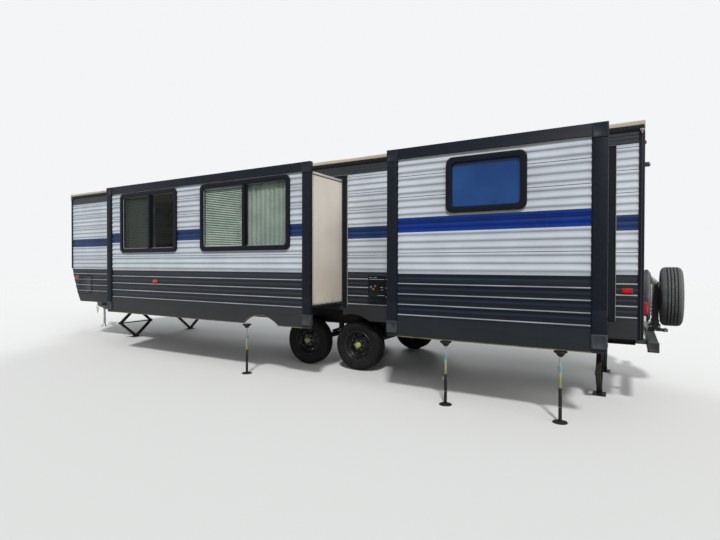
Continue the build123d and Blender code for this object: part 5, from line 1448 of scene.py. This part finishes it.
def tongueJack():
    # outer tube on a gusseted plate, power head, and the leg that slides in the tube
    x = jackPlace
    tube = rod((x, 0, 0.430), (x, 0, 1.012), 0.031, 32)
    bore = rod((x, 0, 0.400), (x, 0, 0.985), 0.026, 32)
    cut(tube, bore)
    plate = board((x - 0.085, -0.130, 0.630), (x + 0.085, 0.130, 0.640), 0.003)
    cut(plate, rod((x, 0, 0.620), (x, 0, 0.650), 0.029, 32))
    gussets = [prism("y", -0.003, 0.006, ((x + out * 0.031, 0.640), (x + out * 0.075, 0.640), (x + out * 0.031, 0.720)))
               for out in (1, -1)]
    mount("jack_tube", [tube, plate] + gussets, "frame", stands=["tongue_jack_tube"], smooth=40)
    head = board((x - 0.060, -0.050, 1.010), (x + 0.060, 0.050, 1.110), 0.018, 4)
    crown = board((x - 0.048, -0.040, 1.092), (x + 0.030, 0.040, 1.118), 0.012, 4)
    lampBox = board((x + 0.050, -0.030, 1.030), (x + 0.072, 0.030, 1.062), 0.006, 3)
    mount("jack_head", [head, crown], "boxPlastic")
    switches = [board((x - 0.030 + k * 0.026, -0.053, 1.050), (x - 0.014 + k * 0.026, -0.047, 1.072), 0.003)
                for k in range(3)]
    mount("jack_lamp_and_switches", [lampBox] + switches, "plastic")
    mount("jack_bolts", [boltAt((x + dx, dy, 0.640), upward)
                         for dx, dy in ((-0.062, 0.055), (-0.062, -0.055), (0.062, 0))], "steel")
    leg = [rod((x, 0, 0.012), (x, 0, 0.620), 0.025, 28, 0.002),
           turned([(0, 0), (0.078, 0), (0.080, 0.004), (0.078, 0.012), (0.058, 0.013), (0.050, 0.022),
                   (0.040, 0.045), (0.032, 0.052), (0, 0.054)], (x, 0, 0), 40)]
    mount("jack_leg", leg, "steel", body="tongue_jack_leg", stands=["tongue_jack_leg"])


couplerShape = {"socket": 11.740, "link": (0.030, 0.0038, 0.0100)}


def coupler():
    # folded shell, ball socket and latch, with two safety chains hung beside it
    link = couplerShape["link"]
    shell = prism("x", 11.470, 0.262, (
        (-0.045, 0.632), (-0.045, 0.676), (-0.036, 0.688), (-0.014, 0.692), (0.014, 0.692), (0.036, 0.688),
        (0.045, 0.676), (0.045, 0.632)), 0.002)
    dome = turned([
        (0.0296, 0), (0.038, -0.001), (0.048, 0.006), (0.050, 0.020), (0.0495, 0.060), (0.044, 0.084),
        (0.030, 0.098), (0, 0.102), (0, 0.040), (0.0296, 0.040), (0.0296, 0)],
        (couplerShape["socket"], 0, 0.590), 40)
    latch = prism("y", -0.013, 0.026, (
        (11.545, 0.690), (11.540, 0.700), (11.556, 0.712), (11.650, 0.712), (11.690, 0.706), (11.715, 0.692)), 0.003)
    mount("coupler_shell", [shell, dome, latch], "frame", stands=["hitch_coupler"], smooth=40)
    pins = [rod((11.600, -0.030, 0.700), (11.600, 0.030, 0.700), 0.005, 12, 0.001)]
    pins += [boltAt((x, side * 0.045, 0.660), (0, side, 0), 0.009) for x in (11.495, 11.560) for side in (1, -1)]
    mount("coupler_pins", pins, "steel")
    chains = []
    for side in (1, -1):
        start = at(11.330, side * 0.155, 0.560)
        chains += [chainAt(start, (11.360, side * 0.180, 0.330), *link),
                   chainAt((11.362, side * 0.180, 0.334), (11.450, side * 0.150, 0.505), *link),
                   boltAt(start + Vector((0, 0, 0.002)), (0, side, 0), 0.012)]
    mount("safety_chains", chains, "steel")


gasCylinders()
batteryBox()
tongueJack()
coupler()
print("tongue fitted")


# Kerb side

awningShape = {"y": -1.285, "z": 2.872, "arms": (3.562, 9.292)}


def awningRoll():
    # rolled fabric with a flap up to its rail, end caps and the folded arms
    y, z = awningShape["y"], awningShape["z"]
    roll = turned([
        (0, 0), (0.030, 0), (0.034, 0.004), (0.046, 0.010), (0.047, 0.070), (0.0485, 0.075), (0.0485, 5.705),
        (0.047, 5.710), (0.046, 5.770), (0.034, 5.776), (0.030, 5.780), (0, 5.780)], (3.560, y, z), 40, forward)
    flap = prism("x", 3.640, 5.620, (
        (-1.268, 2.916), (-1.236, 2.958), (-1.226, 2.962), (-1.226, 2.959), (-1.234, 2.954), (-1.266, 2.910)))
    mount("awning_roll", [roll, flap], "awning", stands=["awning"], smooth=40)
    arms = []
    caps = [board((low, y - 0.050, z - 0.052), (low + 0.018, y + 0.062, z + 0.052), 0.014, 4) for low in (3.542, 9.340)]
    for x in awningShape["arms"]:
        arms.append(board((x, -1.262, 1.150), (x + 0.046, -1.236, 2.850), 0.005))
        arms.append(board((x + 0.010, -1.272, 1.300), (x + 0.036, -1.254, 2.780), 0.005))
        for foot, pin in ((1.150, 1.330), (2.700, 2.100)):
            arms.append(board((x - 0.008, -1.240, foot), (x + 0.054, -1.220, foot + 0.090), 0.006))
            arms.append(rod((x + 0.023, -1.276, pin), (x + 0.023, -1.262, pin), 0.012, 16, 0.002))
    mount("awning_caps", caps, "boxPlastic")
    mount("awning_arms", arms, "aluminium")


doorShape = {"ends": (5.600, 6.270), "low": 0.965, "top": 2.795, "out": -1.226, "hinges": (1.150, 1.880, 2.640)}


def entryDoor():
    # frame and grab rail on the wall; edging, skin, window ring, lever and hinges on the leaf
    x0, x1 = doorShape["ends"]
    z0, z1, out = doorShape["low"], doorShape["top"], doorShape["out"]
    rim = windowRing(x0 - 0.030, x1 + 0.030, z0 - 0.030, z1 + 0.030, 0.045, 0.030, -1.219, -0.006, 0.002)
    rail = [rod((5.500, -1.285, 1.050), (5.500, -1.285, 1.650), 0.014, 20, 0.003)]
    for z in (1.070, 1.630):
        rail += [rod((5.500, -1.220, z), (5.500, -1.285, z), 0.011, 16, 0.002),
                 board((5.475, -1.226, z - 0.030), (5.525, -1.219, z + 0.030), 0.003)]
    mount("entry_frame", [rim] + rail, "aluminium")
    leaf = windowRing(x0 + 0.004, x1 - 0.004, z0 + 0.004, z1 - 0.004, 0.018, 0.030, out, -0.004, 0.002)
    panel = board((x0 + 0.060, out - 0.002, z0 + 0.080), (x1 - 0.060, out + 0.001, 1.600), 0.002)
    recess(panel, kerbward, (0.030, 0), (0.006, -0.0015))
    mount("door_edging", [leaf], "aluminium", body="entry_door")
    mount("panel", [panel], "doorSkin", "entry_door")
    ring = windowRing(5.700, 6.170, 1.950, 2.560, 0.075, 0.060, out - 0.001, -0.015, 0.006)
    lever = [board((x0 + 0.034, out - 0.020, 1.694), (x0 + 0.126, out - 0.001, 1.846), 0.008, 3),
             board((x0 + 0.050, out - 0.034, 1.745), (x0 + 0.112, out - 0.022, 1.768), 0.005, 3),
             rod((x0 + 0.080, out - 0.018, 1.812), (x0 + 0.080, out - 0.027, 1.812), 0.012, 20, 0.002)]
    mount("door_window_ring", [ring] + lever, "windowFrame", body="entry_door")
    knuckles = []
    for z in doorShape["hinges"]:
        knuckles.append(rod((x1 + 0.0025, out - 0.004, z - 0.045), (x1 + 0.0025, out - 0.004, z + 0.045),
                            0.0065, 14, 0.001))
        knuckles.append(board((x1 - 0.040, out - 0.0035, z - 0.042), (x1 - 0.002, out - 0.0005, z + 0.042), 0.001))
    mount("door_hinges", knuckles, "steel", body="entry_door")
    porch = [board((5.380, -1.244, 2.180), (5.520, -1.219, 2.260), 0.008, 3)]
    mount("porch_lamp", porch, "clearLens")


# the treads' near and far edges and their height
stepShape = {"ends": (5.650, 6.220), "treads": ((-1.490, -1.240, 0.585), (-1.660, -1.420, 0.330))}


def steps():
    # ribbed treads between two folding side frames
    x0, x1 = stepShape["ends"]
    frame, treads = [], []
    for low, high, z in stepShape["treads"]:
        treads.append(board((x0, low, z), (x1, high, z + 0.025), 0.004))
        for row in range(5):
            near = low + 0.024 + row * 0.045
            rib = board((x0 + 0.030, near, z + 0.024), (x0 + 0.070, near + 0.010, z + 0.0285), 0.0015)
            treads.append(arrayed(rib, 10, (0.052, 0, 0)))
    for x in (x0, x1 - 0.020):
        frame.append(board((x, -1.500, 0.570), (x + 0.020, -1.050, 0.612), 0.003))
        frame.append(prism("x", x + 0.004, 0.012, (
            (-1.560, 0.330), (-1.430, 0.330), (-1.390, 0.600), (-1.400, 0.612), (-1.450, 0.612),
            (-1.560, 0.360)), 0.002))
        frame += [rod((x - 0.004, y, z), (x + 0.024, y, z), 0.009, 14, 0.002)
                  for y, z in ((-1.425, 0.590), (-1.500, 0.345))]
    mount("step_frame", frame + treads, "frame", body="entry_steps", stands=["entry_steps"])


hatchShape = {"ends": (9.830, 10.290), "low": 0.905, "top": 1.285}


def baggageDoors():
    # a pressed leaf with two latches and a hinge in a rim, made on the road side and mirrored
    x0, x1 = hatchShape["ends"]
    z0, z1 = hatchShape["low"], hatchShape["top"]
    leaf = board((x0, 1.190, z0), (x1, 1.226, z1), 0.010, 3)
    recess(leaf, roadward, (0.016, 0), (0.004, -0.003))
    latches = []
    for x in (x0 + 0.090, x1 - 0.090):
        latches += [board((x - 0.027, 1.222, z0 + 0.018), (x + 0.027, 1.230, z0 + 0.062), 0.004, 3),
                    board((x - 0.018, 1.228, z0 + 0.030), (x + 0.018, 1.2355, z0 + 0.042), 0.003, 3),
                    rod((x, 1.228, z0 + 0.052), (x, 1.232, z0 + 0.052), 0.005, 14, 0.001)]
    hinge = rod((x0 + 0.01, 1.230, z1 + 0.003), (x1 - 0.01, 1.230, z1 + 0.003), 0.0050, 12, 0.001)
    rim = windowRing(x0 - 0.026, x1 + 0.026, z0 - 0.026, z1 + 0.026, 0.026, 0.022, 1.2185, 0.006, 0.002)
    road = {"hatch_leaf": (leaf, "siding", "siding_dark"), "hatch_latches": (joined(latches), "boxPlastic", None),
            "hatch_hinge": (hinge, "trim", None), "rim": (rim, "trim", None)}
    for name, (piece, paint, slot) in road.items():
        for node, twin in (("curb_baggage_door", mirroredWidth(piece)), ("road_baggage_door", piece)):
            mount(node + "_" + name, [twin], paint, chassis if name == "rim" else node,
                  [node] if name == "hatch_leaf" else ())


def kerbFittings():
    # a slatted vent, a water heater's door and an outside socket
    vent = windowRing(8.350, 8.850, 1.050, 1.500, 0.012, 0.022, -1.217, -0.014, 0.003)
    slats = prism("x", 8.375, 0.450, ((-1.212, 1.078), (-1.229, 1.064), (-1.231, 1.067), (-1.214, 1.082)))
    arrayed(slats, 17, (0, 0, 0.0245))
    heater = board((2.000, -1.232, 0.980), (2.330, -1.215, 1.310), 0.006, 3)
    recess(heater, kerbward, (0.014, 0), (0.003, -0.003))
    socket = board((6.600, -1.238, 1.330), (6.690, -1.217, 1.460), 0.006, 3)
    mount("kerb_vents", [vent, slats, heater, socket], "plastic", stands=["curb_side_fittings"])


awningRoll()
entryDoor()
steps()
baggageDoors()
kerbFittings()
print("kerb side fitted")


# Running gear

springShape = {"axles": (3.500, 4.390), "leaves": (0.318, 0.250, 0.185, 0.120), "top": 0.436, "rise": 0.062}


def springs():
    # leaf packs clamped over the axles, on shackles with a rocker between them
    packs, clamps = [], []
    longest = springShape["leaves"][0]
    for x in springShape["axles"]:
        for k, half in enumerate(springShape["leaves"]):
            # each leaf is shorter and lower, and follows the curve of the longest
            reaches = [(-1 + step / 6) * half for step in range(13)]
            points = [at(x + reach, 0.778, springShape["top"] - k * 0.0095
                         + springShape["rise"] * (reach / longest) ** 2) for reach in reaches]
            packs.append(ribbon(points, Vector((0, 0.044, 0)), 0.008, None))
        for dx in (-0.040, 0.040):
            for y in (0.774, 0.826):
                clamps.append(rod((x + dx, y, 0.305), (x + dx, y, 0.470), 0.006, 10, 0.001))
                clamps.append(rod((x + dx, y, 0.308), (x + dx, y, 0.320), 0.011, 6, 0.001))
        clamps.append(board((x - 0.060, 0.765, 0.318), (x + 0.060, 0.835, 0.326), 0.002))
        clamps.append(board((x - 0.052, 0.768, 0.450), (x + 0.052, 0.832, 0.460), 0.003))
        eye = [(0.009, -0.022), (0.019, -0.022), (0.019, 0.022), (0.009, 0.022), (0.009, -0.022)]
        packs += [turned(eye, (x + end, 0.800, 0.505), 20, roadward) for end in (-longest, longest)]
    for x in (3.175, 4.715):
        packs += [board((x - 0.024, y - 0.003, 0.480), (x + 0.024, y + 0.003, 0.632), 0.002) for y in (0.772, 0.826)]
        clamps.append(rod((x, 0.760, 0.505), (x, 0.840, 0.505), 0.008, 12, 0.001))
    for y in (0.770, 0.828):
        packs.append(prism("y", y - 0.003, 0.006, (
            (3.795, 0.490), (3.805, 0.520), (3.920, 0.560), (3.970, 0.560), (4.085, 0.520), (4.095, 0.490),
            (4.080, 0.480), (3.945, 0.520), (3.810, 0.480)), 0.001))
        packs.append(board((3.915, y - 0.008, 0.500), (3.975, y - 0.004, 0.632), 0.002))
    clamps.append(rod((3.945, 0.755, 0.540), (3.945, 0.845, 0.540), 0.009, 12, 0.001))
    pack, clamp = joined(packs), joined(clamps)
    mount("spring_leaves", [pack, mirroredWidth(pack)], "frame", stands=["leaf_springs"], smooth=40)
    mount("spring_clamps", [clamp, mirroredWidth(clamp)], "steel")


tankEnds = ((2.120, 2.590), (5.950, 6.800))


def underbelly():
    # the sheet that closes the floor's underside between the rails, and the tanks hung below it
    mount("sheet", [board((0.080, -0.754, 0.858), (10.100, 0.754, 0.862), 0.001)], "board")
    tanks = []
    for x0, x1 in tankEnds:
        tanks.append(board((x0, -0.640, 0.715), (x1, 0.640, 0.866), 0.030, 4))
        for x in (x0 * 0.75 + x1 * 0.25, x0 * 0.25 + x1 * 0.75):
            tanks.append(board((x - 0.015, -0.650, 0.7125), (x + 0.015, 0.650, 0.716), 0.001))
    pipes = [rod((2.300, -0.455, 0.585), (2.300, -1.080, 0.585), 0.038, 24, 0.003),
             rod((2.300, -1.075, 0.585), (2.300, -1.105, 0.585), 0.046, 24, 0.004),
             rod((2.300, -0.460, 0.585), (2.300, -0.450, 0.585), 0.041, 24, 0.002),
             rod((2.300, -0.500, 0.568), (2.300, -0.500, 0.725), 0.034, 24, 0.003),
             rod((2.300, -0.500, 0.690), (2.300, -0.500, 0.716), 0.046, 24, 0.003)]
    mount("tanks_and_waste_pipe", tanks + pipes, "boxPlastic", stands=["holding_tanks"])


springs()
underbelly()
print("running gear made")


# Camera, lamps and ground

cameraSet = {"place": (-5.542, 6.654, 1.517), "yaw": -2.6202, "pitch": -0.011, "roll": -0.002, "lens": 23.34}
bpy.ops.object.camera_add(
    location=cameraSet["place"],
    rotation=(pi / 2 + cameraSet["pitch"], cameraSet["roll"], cameraSet["yaw"]))
camera = bpy.context.object
camera.data.lens = cameraSet["lens"]
camera.data.sensor_width = 36
bpy.context.scene.camera = camera


def sunLamp(name, towards, strength, spread, colour):
    letGo()
    turn = Vector(towards).to_track_quat("Z", "Y").to_euler()
    bpy.ops.object.light_add(type="SUN", location=Vector(towards) * 20, rotation=turn)
    lamp = bpy.context.object
    lamp.name = name
    lamp.data.energy = strength
    lamp.data.angle = radians(spread)
    lamp.data.color = colour


# direction, strength, angle and colour of each lamp
suns = {
    "key_sun": ((-0.29, 0.60, 0.745), 2.3, 6, (1, 0.99, 0.97)),
    "rear_sun": ((-0.75, 0.45, 0.48), 1.1, 45, (1, 0.98, 0.95)),
    "fill_sun": ((0.5, -0.75, 0.35), 1.4, 25, (0.97, 0.985, 1)),
}
for name, sun in suns.items():
    sunLamp(name, *sun)

studio = {"ambient": 0.36, "backdrop": (0.90, 0.91, 0.92), "floorRadius": 60, "floorFades": (14, 50)}
world = bpy.data.worlds.new("studio")
bpy.context.scene.world = world
world.use_nodes = True
sky = world.node_tree
sky.nodes.clear()
rays = sky.nodes.new("ShaderNodeLightPath")
looked = rays.outputs["Is Camera Ray"]
for ray in ("Is Glossy Ray", "Is Transmission Ray"):
    either = sky.nodes.new("ShaderNodeMath")
    either.operation = "MAXIMUM"
    sky.links.new(looked, either.inputs[0])
    sky.links.new(rays.outputs[ray], either.inputs[1])
    looked = either.outputs[0]
blend = sky.nodes.new("ShaderNodeMixShader")
sky.links.new(looked, blend.inputs[0])
for k, (colour, strength) in enumerate((((0.93, 0.96, 1.0), studio["ambient"]), (studio["backdrop"], 1.0))):
    light = sky.nodes.new("ShaderNodeBackground")
    light.inputs[0].default_value = (*colour, 1)
    light.inputs[1].default_value = strength
    sky.links.new(light.outputs[0], blend.inputs[k + 1])
sky.links.new(blend.outputs[0], sky.nodes.new("ShaderNodeOutputWorld").inputs[0])

letGo()
bpy.ops.mesh.primitive_circle_add(vertices=96, radius=studio["floorRadius"], fill_type="NGON", location=(0, 0, -0.001))
floor = added()
floor.name = "studio_floor"
floorPaint = Paint("studio_floor", (0.72, 0.73, 0.72, 1), 0.85, Specular_IOR_Level=0.2)
# pale where it is looked at, dimmer in the light that it throws back
looked = floorPaint.node("ShaderNodeLightPath", {}, {}, "Is Camera Ray")
for ray in ("Is Glossy Ray", "Is Transmission Ray"):
    looked = looked.math("MAXIMUM", looked, floorPaint.node("ShaderNodeLightPath", {}, {}, ray))
floorPaint.feed("Base Color", floorPaint.mix(looked, (0.20, 0.21, 0.19, 1), (0.72, 0.73, 0.72, 1)))
farOut = floorPaint.x * floorPaint.x + floorPaint.y * floorPaint.y
farOut = farOut.math("SQRT", farOut)
floorPaint.feed("Alpha", 1 - farOut.rise(*studio["floorFades"]))
floor.data.materials.append(floorPaint.material)

bpy.context.scene.view_settings.view_transform = "Standard"
